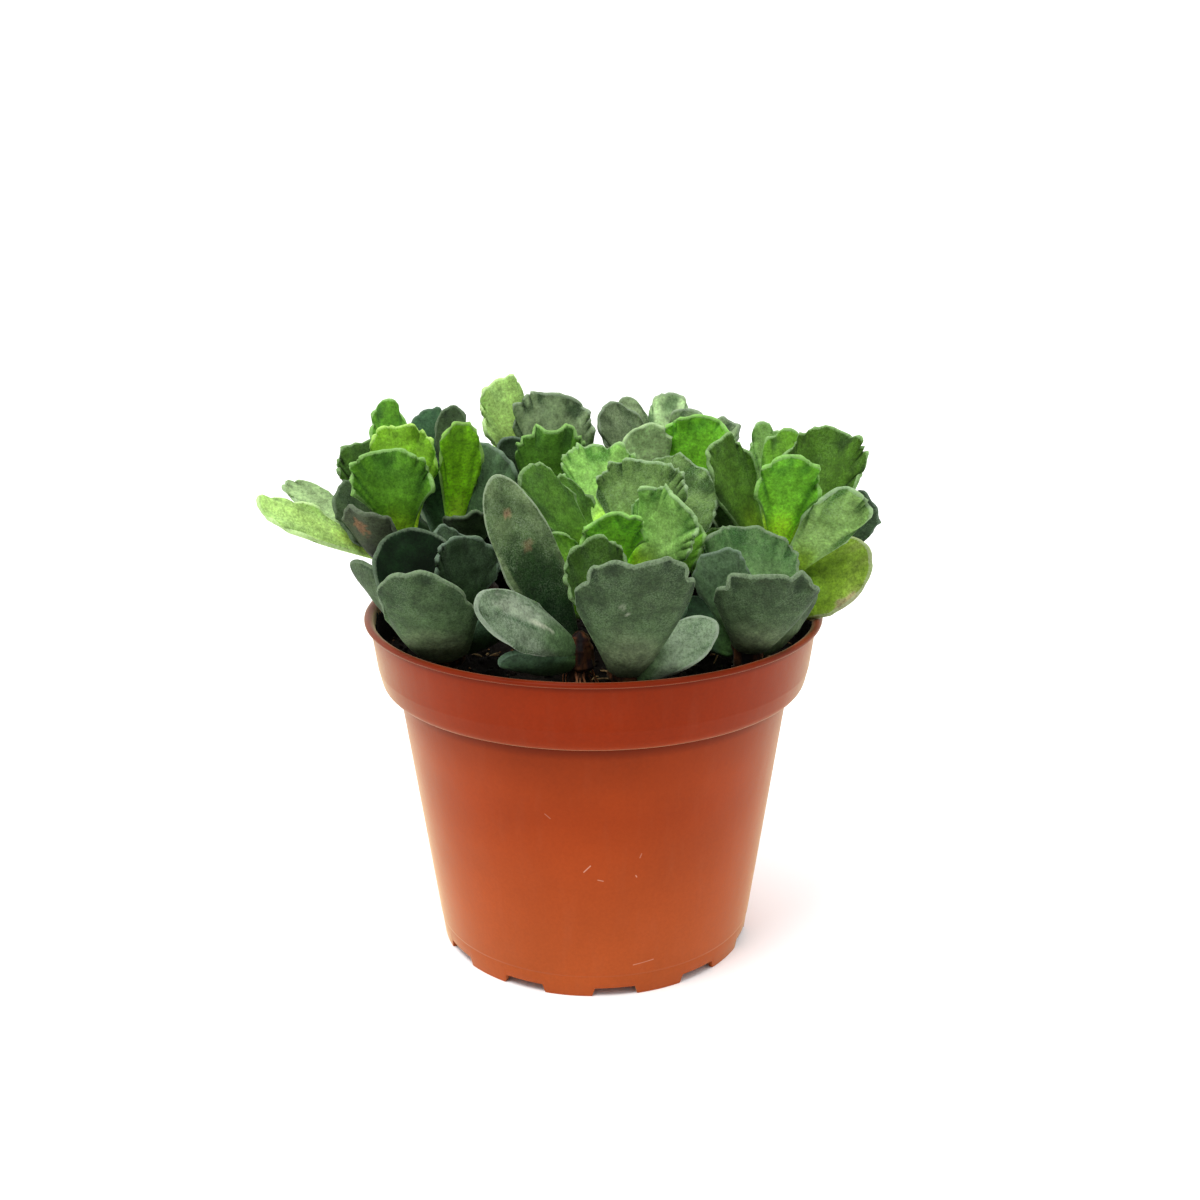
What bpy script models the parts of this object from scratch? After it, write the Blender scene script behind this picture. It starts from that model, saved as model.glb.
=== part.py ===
"""Potted crinkle-leaf plant: short-stemmed rosettes of thick, wavy-edged leaves in a nursery pot.

All lengths below are in millimetres and are turned into metres where a mesh is made. The plant is laid out
about the pot's own axis: +X is the viewer's right, -Y is towards the viewer and +Z is up.
"""

import math
from dataclasses import dataclass

import bmesh
import bpy
import numpy as np
from mathutils import Vector

MM = 0.001
SEED = 11

# The foliage leans to one side, so the pot's axis stands off the origin, under the middle of the whole
POT_AXIS = (4.2, -1.9)

# Pot: one thin moulded shell, flared band on top, ring of feet below
POT_HEIGHT = 80.0
LIP_RADIUS = 52.5
LIP_BEAD = 1.4
BAND_TOP_RADIUS = 51.2
BAND_FOOT_RADIUS = 49.8
BAND_EDGE_RADIUS = 47.4
BAND_HEIGHT = 16.4
BAND_CORNER = 4.6
BODY_TOP_RADIUS = 45.4
FOOT_RADIUS = 36.7
WALL = 1.0
BASE_UNDERSIDE = 2.6
BASE_THICKNESS = 1.2
FOOT_COUNT = 11
NOTCH_START_DEG = -1.2
NOTCH_SLOPE_DEG = 1.3
NOTCH_HEIGHT = 2.1
DRAIN_RADIUS = 3.2
DRAIN_RING = 24.0
DRAIN_COUNT = 4

# Soil
SOIL_LEVEL = 70.0
SOIL_MOUND = 3.0
SOIL_BUMP = 0.9
SOIL_SIDES = 22
FIT_GAP = 0.35

# Stems and the green crowns on them
STEM_RADIUS = 2.3
STEM_SIDES = 6
STEM_DEPTH = 6.0
CROWN_RADIUS = 3.6
ROOT_OFFSET = 2.5
CROWN_SIDES = 6

# Leaf grid: rows run from stalk to margin, and columns from edge to edge, one on each crest and hollow
ROWS = (0.0, 0.38, 0.75, 1.0)
FAN_DEG = 98.0
# A leaf's width is measured over the lobes of its margin; this share of it is the blade itself
BODY_SHARE = 0.92
EDGE_THICKNESS = 1.0

# Heads that only the back shows: leaves follow each other round the stem by the golden angle
GOLDEN_DEG = 137.5

# Bending the leaves clear of each other: probe points on each leaf push apart and turn it about its seat
PROBE_COLUMNS = (-0.95, -0.5, 0.0, 0.5, 0.95)
PROBE_ROWS = (0.30, 0.48, 0.65, 0.82, 0.97)
CLEARANCE = 1.3
RELAX_STEPS = 160
# Leaves that the front shows keep their place in that view: they give way mostly along this direction
VIEW = np.array([0.0, 0.957, -0.291])
SIDEWAYS = 0.3
# Pull back to where a leaf was placed, sideways and in depth, and how fast its face turns back
HOMING = 1.0
HOMING_FREE = 0.25
HOMING_DEPTH = 0.2
FACE_HOMING = 0.03
# Leaves of one head may meet below this share of their length, and none turns faster than this a step
MEETING_SHARE = 0.45
LARGEST_TURN = 0.05
STIFFNESS = 300.0
PROBE_STIFFNESS = 0.25
LIP_CORE = 1.2
LIP_CLEAR = 1.8


@dataclass
class Form:
    """What leaves of one age share. Lengths are shares of the leaf's length unless they say mm."""

    shoulder: float  # where along the leaf the margin's arc is centred
    flare: float  # above 1 the stalk stays narrow and then fans out, below 1 the leaf is full from the start
    stalk_mm: float
    thick_mm: float
    waves: float  # how many waves run round the margin
    ripple_mm: float  # their height
    cup: float
    bend: float
    scallop_mm: float  # how far the margin's lobes stand out and its notches go in
    square: float  # 1 for a round top, less for a squarer one


FORMS = {
    "young": Form(0.68, 1.50, 3.8, 2.9, 3, 0.95, 0.10, 0.10, 0.60, 0.76),
    "grown": Form(0.66, 1.40, 4.2, 3.6, 3, 0.90, 0.10, 0.08, 0.60, 0.76),
    "old": Form(0.62, 1.05, 4.3, 4.6, 2.5, 0.85, 0.08, 0.04, 0.45, 0.82),
    "spoon": Form(0.52, 0.75, 4.4, 5.0, 2.5, 0.35, 0.06, 0.04, 0.20, 0.95),
    "bowl": Form(0.52, 0.75, 4.4, 3.6, 2.5, 0.35, 0.34, 0.08, 0.20, 0.95),
    "broad": Form(0.64, 1.10, 7.0, 4.4, 3, 0.75, 0.08, 0.04, 0.45, 0.80),
    "scoop": Form(0.52, 0.70, 8.5, 5.0, 2.5, 0.35, 0.06, 0.04, 0.30, 0.90),
}


@dataclass
class Leaf:
    """One leaf: tip is the middle of its margin, and look the compass angle that its upper face turns to.

    A look of 0 faces the viewer.
    """

    tip: tuple
    seat: float  # height at which it leaves the crown
    width: float
    look: float
    kind: str
    rise: float = 30.0  # how far the upper face is turned up, in degrees
    free: bool = False  # moves aside as easily as backwards
    skew: float = 0.0  # how far its right corner stands higher than its left one, as a share of its width


@dataclass
class Rosette:
    name: str
    root: tuple  # where its stem leaves the soil, x and y
    axis: tuple  # the crown's x and y
    low: float
    top: float
    bright: bool
    leaves: list


def whorl(rng, axis, low, top, count, first_deg, reach, oldest=1.0):
    """A head's leaves by the golden angle: old ones low and leaning out, young ones high and upright."""
    out = []
    for i in range(count):
        age = oldest - i / max(count, 1)
        turn = first_deg + i * GOLDEN_DEG + rng.uniform(-12, 12)
        lean = math.radians(16 + 48 * age + rng.uniform(-6, 6))
        length = reach * (0.88 + 0.16 * age + rng.uniform(-0.08, 0.08))
        seat = low + 2.5 + (top - low - 4) * (1 - age)
        side = length * math.sin(lean)
        tip = (axis[0] + side * math.sin(math.radians(turn)), axis[1] - side * math.cos(math.radians(turn)),
               seat + length * math.cos(lean))
        kind = "spoon" if age > 0.8 else "old" if age > 0.45 else "grown" if age > 0.15 else "young"
        width = length * {"spoon": 0.62, "old": 0.72, "grown": 0.70, "young": 0.60}[kind]
        out.append(Leaf(tip, seat, width, turn + 180, kind, free=True))
    return out


def rosettes():
    """The heads as they stand in the pot: the ones seen from the front by place, the rear ones by rule."""
    rng = np.random.default_rng(SEED)
    return [
        Rosette("left", (-36, -2), (-42, -1), 84, 99, True, [
            Leaf((-45, -8, 118), 96, 18.5, 0, "young"),
            Leaf((-43, 5, 121), 97, 16, -5, "young"),
            Leaf((-52.5, 5, 117.5), 93, 16, 32, "grown"),
            Leaf((-48, 14, 125.5), 97, 9, 20, "grown"),
            Leaf((-72.5, -12, 107), 92, 9, 0, "young", 55),
            Leaf((-71, 9, 107), 94, 7, 0, "grown", 60),
            Leaf((-57, -2, 109), 91, 12, 35, "old"),
            Leaf((-51, -17, 107), 89, 13, 155, "old"),
        ]),
        Rosette("left_back", (-30, 9), (-33, 12), 80, 101, False, [
            Leaf((-29, -2, 123), 92, 10, 15, "young"),
            Leaf((-37, 5, 113), 91, 9, 0, "old"),
            Leaf((-33, 20, 123), 98, 8, 0, "old"),
            Leaf((-35, 27, 116), 96, 9, 0, "old"),
            Leaf((-39, 22, 122), 97, 12, 15, "old"),
            Leaf((-22, 3, 116), 91, 19, -15, "old"),
            Leaf((-27, -4, 103), 88, 12, -160, "old"),
            Leaf((-53, 22, 104), 89, 14, 90, "old", free=True),
            Leaf((-19, -2, 93), 83, 15, 20, "old", 50, True),
        ]),
        Rosette("front_left", (-31.5, -24), (-31.5, -24), 75, 88, False, [
            Leaf((-36, -43, 100), 77, 20, 180, "scoop", skew=0.2),
            Leaf((-41, -16, 102), 82, 19.5, 5, "bowl"),
            Leaf((-26, -25, 103), 84, 15, 30, "grown"),
            Leaf((-32, -16, 103), 83, 12, 55, "old"),
            Leaf((-53, -15, 95), 78, 13, 140, "spoon"),
            Leaf((-14, -24, 87), 78, 13, 150, "spoon", 60, True),
        ]),
        Rosette("front", (-3, -36), (-3, -36), 78, 86, False, [
            Leaf((-20, -31, 117), 82, 13.5, 0, "spoon"),
            Leaf((-23, -52, 97), 82, 12, 0, "spoon", 35),
            Leaf((-18, -48, 84), 79, 8, 180, "spoon"),
        ]),
        Rosette("front_low", (6.5, -40), (6.5, -40), 77, 85, False, [
            Leaf((8.5, -56, 106), 79, 24, 180, "broad", skew=-0.25),
            Leaf((24, -47, 90), 78, 10, 0, "spoon", 40),
            Leaf((18, -31, 95), 79, 10, 160, "old"),
            Leaf((3, -32, 92), 80, 12, 0, "old", 40, True),
            Leaf((-1.5, -34, 104), 83, 14, 0, "grown"),
        ]),
        Rosette("front_right", (32, -25), (33, -27), 75, 88, False, [
            Leaf((36, -44, 99.5), 79.5, 21.5, 180, "broad"),
            Leaf((34, -19, 103), 82, 22, 0, "old"),
            Leaf((25, -31, 101), 83, 13, 170, "old"),
            Leaf((48, -22, 90), 78, 12, 180, "spoon"),
            Leaf((18, -18, 86), 78, 12, 0, "spoon", 60, True),
        ]),
        Rosette("middle", (4, -10), (5, -12), 79, 98, True, [
            Leaf((1, -2, 118), 94, 19, 0, "young"),
            Leaf((13, -7, 115), 94, 22, -20, "grown"),
            Leaf((24, 1, 112.5), 90, 23, -25, "old"),
            Leaf((19, -22, 109.5), 91, 18.5, -15, "young"),
            Leaf((4, -23, 107), 92, 14, 0, "young"),
            Leaf((-15, -14, 115), 93, 12, 40, "grown"),
            Leaf((-8, -6, 111), 91, 11, 40, "grown"),
            Leaf((-14, -21, 101), 86, 14, 10, "old", free=True),
            Leaf((23, -8, 102), 87, 16, -25, "old", free=True),
            Leaf((-13, -7, 91), 82, 15, 15, "spoon", 50, True),
            Leaf((20, -24, 94), 82, 15, -25, "spoon", 50, True),
        ]),
        Rosette("right", (36, -3), (41, -3), 79, 98, True, [
            Leaf((43, -14, 117.5), 95, 14, 0, "young"),
            Leaf((27, -6, 119.5), 93, 13, 30, "grown"),
            Leaf((56, 4, 119.5), 93, 19, -20, "grown"),
            Leaf((56.5, -18, 110.5), 88, 12, 20, "grown"),
            Leaf((40.5, 12, 120), 96, 9, 0, "young"),
            Leaf((44.5, 10, 118), 96, 11, 0, "grown"),
            Leaf((63.5, 2, 104), 89, 13, 20, "old"),
            Leaf((62, -10, 94.5), 80, 18, 0, "spoon", 35),
            Leaf((24, -2, 96), 82, 17, -15, "old", 50, True),
        ]),
        Rosette("back_left", (-11, 18), (-13, 18), 88, 106, False, [
            Leaf((-22.5, 19, 129), 104, 12, 10, "young"),
            Leaf((-8.5, 18, 126), 102, 20, 0, "grown"),
            Leaf((-22, 27, 117), 101, 8, 0, "young"),
            Leaf((-19, 11, 117), 98, 10, 0, "old"),
            Leaf((-9, 7, 120), 98, 16, 180, "grown"),
            Leaf((-12, 34, 107), 94, 13, 180, "old", free=True),
            Leaf((-12, 6, 97), 90, 13, 0, "spoon", 50, True),
        ]),
        Rosette("back_right", (15, 19), (17, 19), 88, 106, False, [
            Leaf((3.5, 21, 123), 102, 12, 25, "old"),
            Leaf((8, 30, 123), 102, 9, 0, "old"),
            Leaf((18.5, 25, 125), 103, 11, 0, "old"),
            Leaf((24, 20, 122), 102, 12, -30, "old"),
            Leaf((26, 8, 122), 98, 18, 0, "grown"),
            Leaf((12, 9, 120), 99, 12, 0, "grown"),
            Leaf((34, 24, 118), 100, 11, -50, "grown"),
            Leaf((5, 10, 102), 91, 13, 190, "old", free=True),
            Leaf((22, 9, 104), 91, 14, 0, "old", free=True),
        ]),
        Rosette("rear_left", (-25, 30), (-29, 35), 78, 90, False,
                whorl(rng, (-29, 35), 78, 90, 9, 230, 22)),
        Rosette("rear", (3, 39), (3, 42), 78, 90, True,
                whorl(rng, (3, 42), 78, 90, 9, 150, 22)),
        Rosette("rear_right", (31, 26), (35, 29.5), 78, 90, False,
                whorl(rng, (35, 29.5), 78, 90, 9, 110, 22)),
    ]


def unit(v):
    return v / np.linalg.norm(v)


def turned(v, axis, angle):
    """The vectors v turned about a unit axis by an angle in radians."""
    c, s = math.cos(angle), math.sin(angle)
    return v * c + np.cross(axis, v) * s + np.outer(v @ axis, axis).reshape(v.shape) * (1 - c)


def rounded_power(value, power):
    return np.sign(value) * np.abs(value) ** power


def blade(form, length, width, phase, skew, s, t):
    """Middle surface and thickness, at grid points s and t, of a leaf along +Y with its upper face to +Z.

    s runs from -1 at the left edge to 1 at the right, and t from 0 at the stalk to 1 at the margin.
    """
    fan = np.radians(FAN_DEG) * s
    shoulder = form.shoulder * length
    lobe = form.scallop_mm * np.cos(form.waves * math.pi * (s + 1)) * min(1.0, width / 14)
    margin_x = (width / 2 + lobe) * rounded_power(np.sin(fan), form.square)
    margin_y = shoulder + (length - shoulder + lobe) * rounded_power(np.cos(fan), form.square)
    spread = t**form.flare
    x = form.stalk_mm / 2 * s * (1 - spread) + margin_x * spread
    y = margin_y * t + skew * x * t**2
    ripple_mm = form.ripple_mm * min(1.0, width / 16) ** 2
    ripple = np.cos(form.waves * math.pi * (s + 1) + phase) * ripple_mm * t**4
    lift = form.cup * 4 * x**2 / width + ripple
    curl = form.bend * (y / length) ** 2 * length
    mid = np.stack([x, y, lift + curl], -1)
    along = 0.66 + 0.42 * np.sin(math.pi * t**0.8)
    across = np.sqrt(np.clip(1 - 0.92 * s**2, 0, 1))
    body = form.thick_mm * along * across * min(1.0, 0.55 + width / 25)
    thickness = EDGE_THICKNESS + (body - EDGE_THICKNESS) * (1 - t**3)
    return mid, np.maximum(thickness, EDGE_THICKNESS)


class Placed:
    """A leaf in its place: where it grows from and its three directions, which relaxing may turn."""

    def __init__(self, rosette, leaf, order):
        self.rosette, self.leaf, self.form = rosette, leaf, FORMS[leaf.kind]
        tip = np.array(leaf.tip, float)
        axis = np.array([*rosette.axis, leaf.seat], float)
        outward = (tip - axis) * (1, 1, 0)
        self.base = axis + outward / max(np.linalg.norm(outward), 4.0) * ROOT_OFFSET
        self.length = float(np.linalg.norm(tip - self.base))
        self.width = leaf.width * BODY_SHARE
        self.phase = math.pi * (order % 2)
        along = unit(tip - self.base)
        look, rise = math.radians(leaf.look), math.radians(leaf.rise)
        seed = np.array([math.sin(look) * math.cos(rise), -math.cos(look) * math.cos(rise), math.sin(rise)])
        face = unit(seed - along * (seed @ along))
        self.axes = np.stack([np.cross(along, face), along, face])
        self.scale = 1 / math.hypot(1, self.form.bend)
        self.tilt = math.atan2(self.form.bend, 1)

    def local(self, s, t):
        """Middle surface and thickness in the leaf's own axes, with the tip on its +Y."""
        mid, thickness = blade(self.form, self.length * self.scale, self.width, self.phase,
                               self.leaf.skew, s, t)
        return turned(mid, np.array([1.0, 0.0, 0.0]), -self.tilt), thickness

    def world(self, points):
        return self.base + points @ self.axes


def placed_leaves(heads):
    return [Placed(head, leaf, i) for head in heads for i, leaf in enumerate(head.leaves)]


def stem_line(rosette, bends=3):
    """Middle line of a stem: upright in its hole, then leaning over to just under its crown."""
    root, axis = np.array(rosette.root, float), np.array(rosette.axis, float)
    top = rosette.low - FIT_GAP
    start = min(SOIL_LEVEL + SOIL_MOUND + 1.5, top - 1)
    line = [[*root, SOIL_LEVEL - STEM_DEPTH], [*root, start]]
    for i in range(1, bends + 1):
        f = i / bends
        line.append([*(root + (axis - root) * f**1.3), start + (top - start) * f])
    return np.array(line)


def obstacles(heads):
    """Points of the stems and crowns with their radii, and which head each belongs to."""
    points, radii, owner = [], [], []
    for i, head in enumerate(heads):
        for p in stem_line(head, 6)[1:]:
            points.append(p)
            radii.append(STEM_RADIUS)
            owner.append(i)
        for z in np.linspace(head.low, head.top, 6):
            points.append([*head.axis, z])
            radii.append(CROWN_RADIUS)
            owner.append(i)
    return np.array(points), np.array(radii), np.array(owner)


def push_from_pot(world, radius):
    """How far each point must move to clear the pot's lip and wall and the soil."""
    push = np.zeros_like(world)
    out = np.hypot(world[..., 0], world[..., 1])
    way = world[..., :2] / np.maximum(out, 1)[..., None]
    lip_out, lip_up = out - (LIP_RADIUS - LIP_CORE), world[..., 2] - (POT_HEIGHT - LIP_CORE)
    far = np.maximum(np.hypot(lip_out, lip_up), 0.1)
    deep = np.clip(LIP_CLEAR + radius - far, 0, None)
    push[..., :2] += way * (lip_out / far * deep)[..., None]
    push[..., 2] += lip_up / far * deep
    below = world[..., 2] < POT_HEIGHT
    wall = np.where(lip_out < 0, np.minimum(LIP_RADIUS - 4.2 - radius - out, 0),
                    np.maximum(LIP_RADIUS + 0.5 + radius - out, 0))
    push[..., :2] += way * (wall * below)[..., None]
    inside = out < LIP_RADIUS
    push[..., 2] += np.clip(SOIL_LEVEL + SOIL_MOUND + SOIL_BUMP + radius - world[..., 2], 0, None) * inside
    return push


def relax(heads, leaves):
    """Turns each leaf about its seat until the leaves clear each other, the stems, the pot and the soil.

    Leaves seen from the front give way backwards and forwards more easily than sideways.
    """
    s, t = (g.ravel() for g in np.meshgrid(PROBE_COLUMNS, PROBE_ROWS))
    probes, thick = (np.array(v) for v in zip(*(leaf.local(s, t) for leaf in leaves)))
    radius = thick / 2
    base = np.array([leaf.base for leaf in leaves])
    length = np.array([leaf.length for leaf in leaves])
    owner = np.array([heads.index(leaf.rosette) for leaf in leaves])
    free = np.array([leaf.leaf.free for leaf in leaves])
    sideways, homing = np.where(free, 1.0, SIDEWAYS), np.where(free, HOMING_FREE, HOMING)
    axes = np.array([leaf.axes for leaf in leaves])
    face, tip = axes[:, 2].copy(), base + length[:, None] * axes[:, 1]
    hard, hard_radius, hard_owner = obstacles(heads)
    own = (owner[:, None] == hard_owner[None])[:, None]
    low = t < MEETING_SHARE
    for _ in range(RELAX_STEPS):
        world = base[:, None] + probes @ axes
        normal, middle = axes[:, 2], world.mean(1)
        size = np.linalg.norm(world - middle[:, None], axis=2).max(1)
        gap = np.linalg.norm(middle[:, None] - middle[None], axis=2) - size[:, None] - size[None]
        a, b = np.nonzero(np.triu(gap < 3, 1))
        kin = owner[a] == owner[b]
        dist = np.linalg.norm(world[a][:, :, None] - world[b][:, None], axis=3)
        room = np.where(kin, 0.0, CLEARANCE)[:, None, None]
        depth = np.clip(radius[a][:, :, None] + radius[b][:, None] + room - dist, 0, None)
        depth[kin[:, None, None] & (low[None, :, None] | low[None, None, :])] = 0
        apart = middle[a] - middle[b]
        side_a = np.sign(np.einsum("ij,ij->i", apart, normal[a]))
        side_b = np.sign(np.einsum("ij,ij->i", apart, normal[b]))
        way = unit_rows(normal[b] * side_b[:, None] + normal[a] * side_a[:, None] + 0.5 * unit_rows(apart))
        push = np.zeros_like(world)
        np.add.at(push, a, depth.max(2)[..., None] * way[:, None])
        np.add.at(push, b, -depth.max(1)[..., None] * way[:, None])
        along_view = (push @ VIEW)[..., None] * VIEW
        push = along_view + (push - along_view) * sideways[:, None, None]
        away = world[:, :, None] - hard[None, None]
        far = np.linalg.norm(away, axis=3)
        deep = np.clip(radius[..., None] + CLEARANCE / 2 + hard_radius - far, 0, None)
        deep[np.broadcast_to(own, deep.shape)] = 0
        push += (away / np.maximum(far, 0.1)[..., None] * deep[..., None]).sum(2)
        push += push_from_pot(world, radius + CLEARANCE / 2)
        torque = np.cross(world - base[:, None], push).sum(1)
        now = length[:, None] * axes[:, 1]
        home = tip - base - now
        home -= (home @ VIEW)[:, None] * VIEW * (1 - HOMING_DEPTH)
        torque += np.cross(now, home * homing[:, None])
        inertia = ((world - base[:, None])**2).sum((1, 2)) * PROBE_STIFFNESS + STIFFNESS
        for i, turn in enumerate(torque / inertia[:, None]):
            angle = max(np.linalg.norm(turn), 1e-9)
            axes[i] = turned(axes[i], turn / angle, min(angle, LARGEST_TURN))
            axes[i, 2] += face[i] * FACE_HOMING
            axes[i] = squared(axes[i])
    for leaf, relaxed in zip(leaves, axes):
        leaf.axes = relaxed


def unit_rows(v):
    return v / np.maximum(np.linalg.norm(v, axis=1, keepdims=True), 1e-9)


def squared(axes):
    """The three directions made exactly square again, keeping the leaf's length direction."""
    along = unit(axes[1])
    face = unit(axes[2] - along * (axes[2] @ along))
    return np.stack([np.cross(along, face), along, face])


def leaf_mesh(leaf):
    """Closed triangles of one leaf: two faces split alike, a band round the edge and a narrow root."""
    columns = np.linspace(-1, 1, int(2 * leaf.form.waves) + 1)
    s, t = np.meshgrid(columns, ROWS)
    mid, thickness = leaf.local(s, t)
    normal = np.cross(np.gradient(mid, axis=1), np.gradient(mid, axis=0))
    normal /= np.linalg.norm(normal, axis=2, keepdims=True)
    half = thickness[..., None] / 2
    points = np.concatenate([(mid + normal * half).reshape(-1, 3), (mid - normal * half).reshape(-1, 3)])
    rows, cols = len(ROWS), len(columns)
    lower = rows * cols

    def at(i, j):
        """Grid point, where the root's row has only its two edges and its middle."""
        if i == 0 and 0 < j < cols - 1:
            j = cols // 2
        return i * cols + j

    faces = []
    for i in range(rows - 1):
        for j in range(cols - 1):
            a, b, c, d = at(i, j), at(i, j + 1), at(i + 1, j + 1), at(i + 1, j)
            faces += [(a, b, c), (a, c, d)]
            faces += [(lower + c, lower + b, lower + a), (lower + d, lower + c, lower + a)]
    ring = [at(i, 0) for i in range(rows - 1, 0, -1)] + [at(0, j) for j in range(cols)]
    ring += [at(i, cols - 1) for i in range(1, rows)] + [at(rows - 1, j) for j in range(cols - 2, 0, -1)]
    for a, b in zip(ring, ring[1:] + ring[:1]):
        if a != b:
            faces += [(a, lower + a, lower + b), (a, lower + b, b)]
    return leaf.world(points), [face for face in faces if len(set(face)) == 3]


def placed_at_pot(points):
    """Points about the pot's axis, in millimetres, as points of the part, in metres."""
    return (np.asarray(points, float) + np.array([*POT_AXIS, 0.0])) * MM


def material(name, colour, roughness):
    made = bpy.data.materials.new(name)
    made.use_nodes = True
    shader = made.node_tree.nodes["Principled BSDF"]
    shader.inputs["Base Color"].default_value = (*colour, 1)
    shader.inputs["Roughness"].default_value = roughness
    shader.inputs["Metallic"].default_value = 0.0
    made.diffuse_color = (*colour, 1)
    return made


def add_object(name, points, faces, paint=None, collection=None):
    """A mesh object from points about the pot's axis, with its faces turned outwards."""
    mesh = bpy.data.meshes.new(name)
    mesh.from_pydata([Vector(p) for p in placed_at_pot(points)], [], faces)
    form = bmesh.new()
    form.from_mesh(mesh)
    bmesh.ops.delete(form, geom=[v for v in form.verts if not v.link_faces], context="VERTS")
    bmesh.ops.recalc_face_normals(form, faces=form.faces)
    form.to_mesh(mesh)
    form.free()
    made = bpy.data.objects.new(name, mesh)
    if paint:
        mesh.materials.append(paint)
    (collection or bpy.context.scene.collection).objects.link(made)
    return made


def drop_scraps(mesh):
    """Removes what a join left loose beside the main body."""
    form = bmesh.new()
    form.from_mesh(mesh)
    waiting, bodies = set(form.verts), []
    while waiting:
        body, edge = set(), [waiting.pop()]
        while edge:
            vert = edge.pop()
            body.add(vert)
            near = {e.other_vert(vert) for e in vert.link_edges} & waiting
            waiting -= near
            edge += near
        bodies.append(body)
    largest = max(bodies, key=len)
    bmesh.ops.delete(form, geom=[v for body in bodies if body is not largest for v in body], context="VERTS")
    form.to_mesh(mesh)
    form.free()


def boolean(target, operation, pieces):
    """Joins or cuts target with every object of the pieces collection and removes those objects."""
    step = target.modifiers.new(operation.lower(), "BOOLEAN")
    step.operation = operation
    step.operand_type = "COLLECTION"
    step.collection = pieces
    step.solver = "EXACT"
    graph = bpy.context.evaluated_depsgraph_get()
    result = bpy.data.meshes.new_from_object(target.evaluated_get(graph))
    target.modifiers.remove(step)
    paints = list(target.data.materials)
    target.data = result
    result.materials.clear()
    for paint in paints:
        result.materials.append(paint)
    result.polygons.foreach_set("material_index", [0] * len(result.polygons))
    drop_scraps(result)
    for piece in list(pieces.objects):
        bpy.data.objects.remove(piece)
    bpy.data.collections.remove(pieces)


def new_collection(name):
    made = bpy.data.collections.new(name)
    bpy.context.scene.collection.children.link(made)
    return made


def revolved(profile, angles):
    """Points and faces of a closed profile turned about Z: profile(angle) gives radius and height pairs."""
    rings = [profile(a) for a in angles]
    points = [(r * math.sin(a), -r * math.cos(a), z) for a, ring in zip(angles, rings) for r, z in ring]
    size, count = len(rings[0]), len(angles)
    faces = []
    for i in range(count):
        for j in range(size):
            a, b = i * size + j, i * size + (j + 1) % size
            c, d = (i + 1) % count * size + (j + 1) % size, (i + 1) % count * size + j
            faces.append((a, b, c, d))
    return points, faces


def prism(centre, radius, low, high, sides):
    x, y = centre
    ring = [(x + radius * math.cos(2 * math.pi * k / sides), y + radius * math.sin(2 * math.pi * k / sides))
            for k in range(sides)]
    points = [(*p, low) for p in ring] + [(*p, high) for p in ring]
    faces = [tuple(range(sides))[::-1], tuple(range(sides, 2 * sides))]
    faces += [(k, (k + 1) % sides, sides + (k + 1) % sides, sides + k) for k in range(sides)]
    return points, faces


def inner_wall():
    """Radius and height pairs of the pot's inside, from the floor to the lip."""
    floor = BASE_UNDERSIDE + BASE_THICKNESS
    band_foot = POT_HEIGHT - BAND_HEIGHT
    slope = (BODY_TOP_RADIUS - FOOT_RADIUS) / band_foot
    return [
        (FOOT_RADIUS + slope * floor - WALL, floor),
        (BODY_TOP_RADIUS - WALL, band_foot + 0.4),
        (BAND_FOOT_RADIUS - WALL - 0.3, band_foot + 3.0),
        (BAND_TOP_RADIUS - WALL + 0.2, POT_HEIGHT - 0.7),
        (LIP_RADIUS - 0.9, POT_HEIGHT),
    ]


def make_pot(paint):
    """The shell: outer face, lip bead, inner face and floor as one profile, with the feet cut by notches."""
    period = 360 / FOOT_COUNT
    stops = (0, NOTCH_SLOPE_DEG, period / 4, period / 2 - NOTCH_SLOPE_DEG, period / 2, period * 0.75)
    angles = [math.radians(NOTCH_START_DEG + k * period + stop) for k in range(FOOT_COUNT) for stop in stops]
    raised = [False, True, True, True, False, False] * FOOT_COUNT
    foot_height = dict(zip(angles, [NOTCH_HEIGHT if up else 0.0 for up in raised]))
    band_foot = POT_HEIGHT - BAND_HEIGHT
    slope = (BODY_TOP_RADIUS - FOOT_RADIUS) / band_foot

    def profile(angle):
        low = foot_height[angle]
        outer = [
            (LIP_RADIUS, POT_HEIGHT - LIP_BEAD / 2),
            (BAND_TOP_RADIUS, POT_HEIGHT - LIP_BEAD),
            (BAND_FOOT_RADIUS, band_foot + BAND_CORNER),
            (BAND_FOOT_RADIUS - 0.9, band_foot + 0.7),
            (BAND_EDGE_RADIUS, band_foot),
            (BODY_TOP_RADIUS, band_foot),
            (FOOT_RADIUS + slope * low, low),
            (FOOT_RADIUS + slope * low - WALL - 0.2, low),
            (FOOT_RADIUS - WALL - 0.2, BASE_UNDERSIDE),
            (4.0, BASE_UNDERSIDE),
            (4.0, BASE_UNDERSIDE + BASE_THICKNESS),
        ]
        return outer + inner_wall()

    points, faces = revolved(profile, angles)
    pot = add_object("pot", points, faces, paint)
    cutters = new_collection("drain cutters")
    for k in range(DRAIN_COUNT):
        a = 2 * math.pi * k / DRAIN_COUNT
        centre = (DRAIN_RING * math.cos(a), DRAIN_RING * math.sin(a))
        add_object(f"drain_{k}", *prism(centre, DRAIN_RADIUS, 0.5, 6.0, 8), collection=cutters)
    boolean(pot, "DIFFERENCE", cutters)
    return pot


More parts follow.
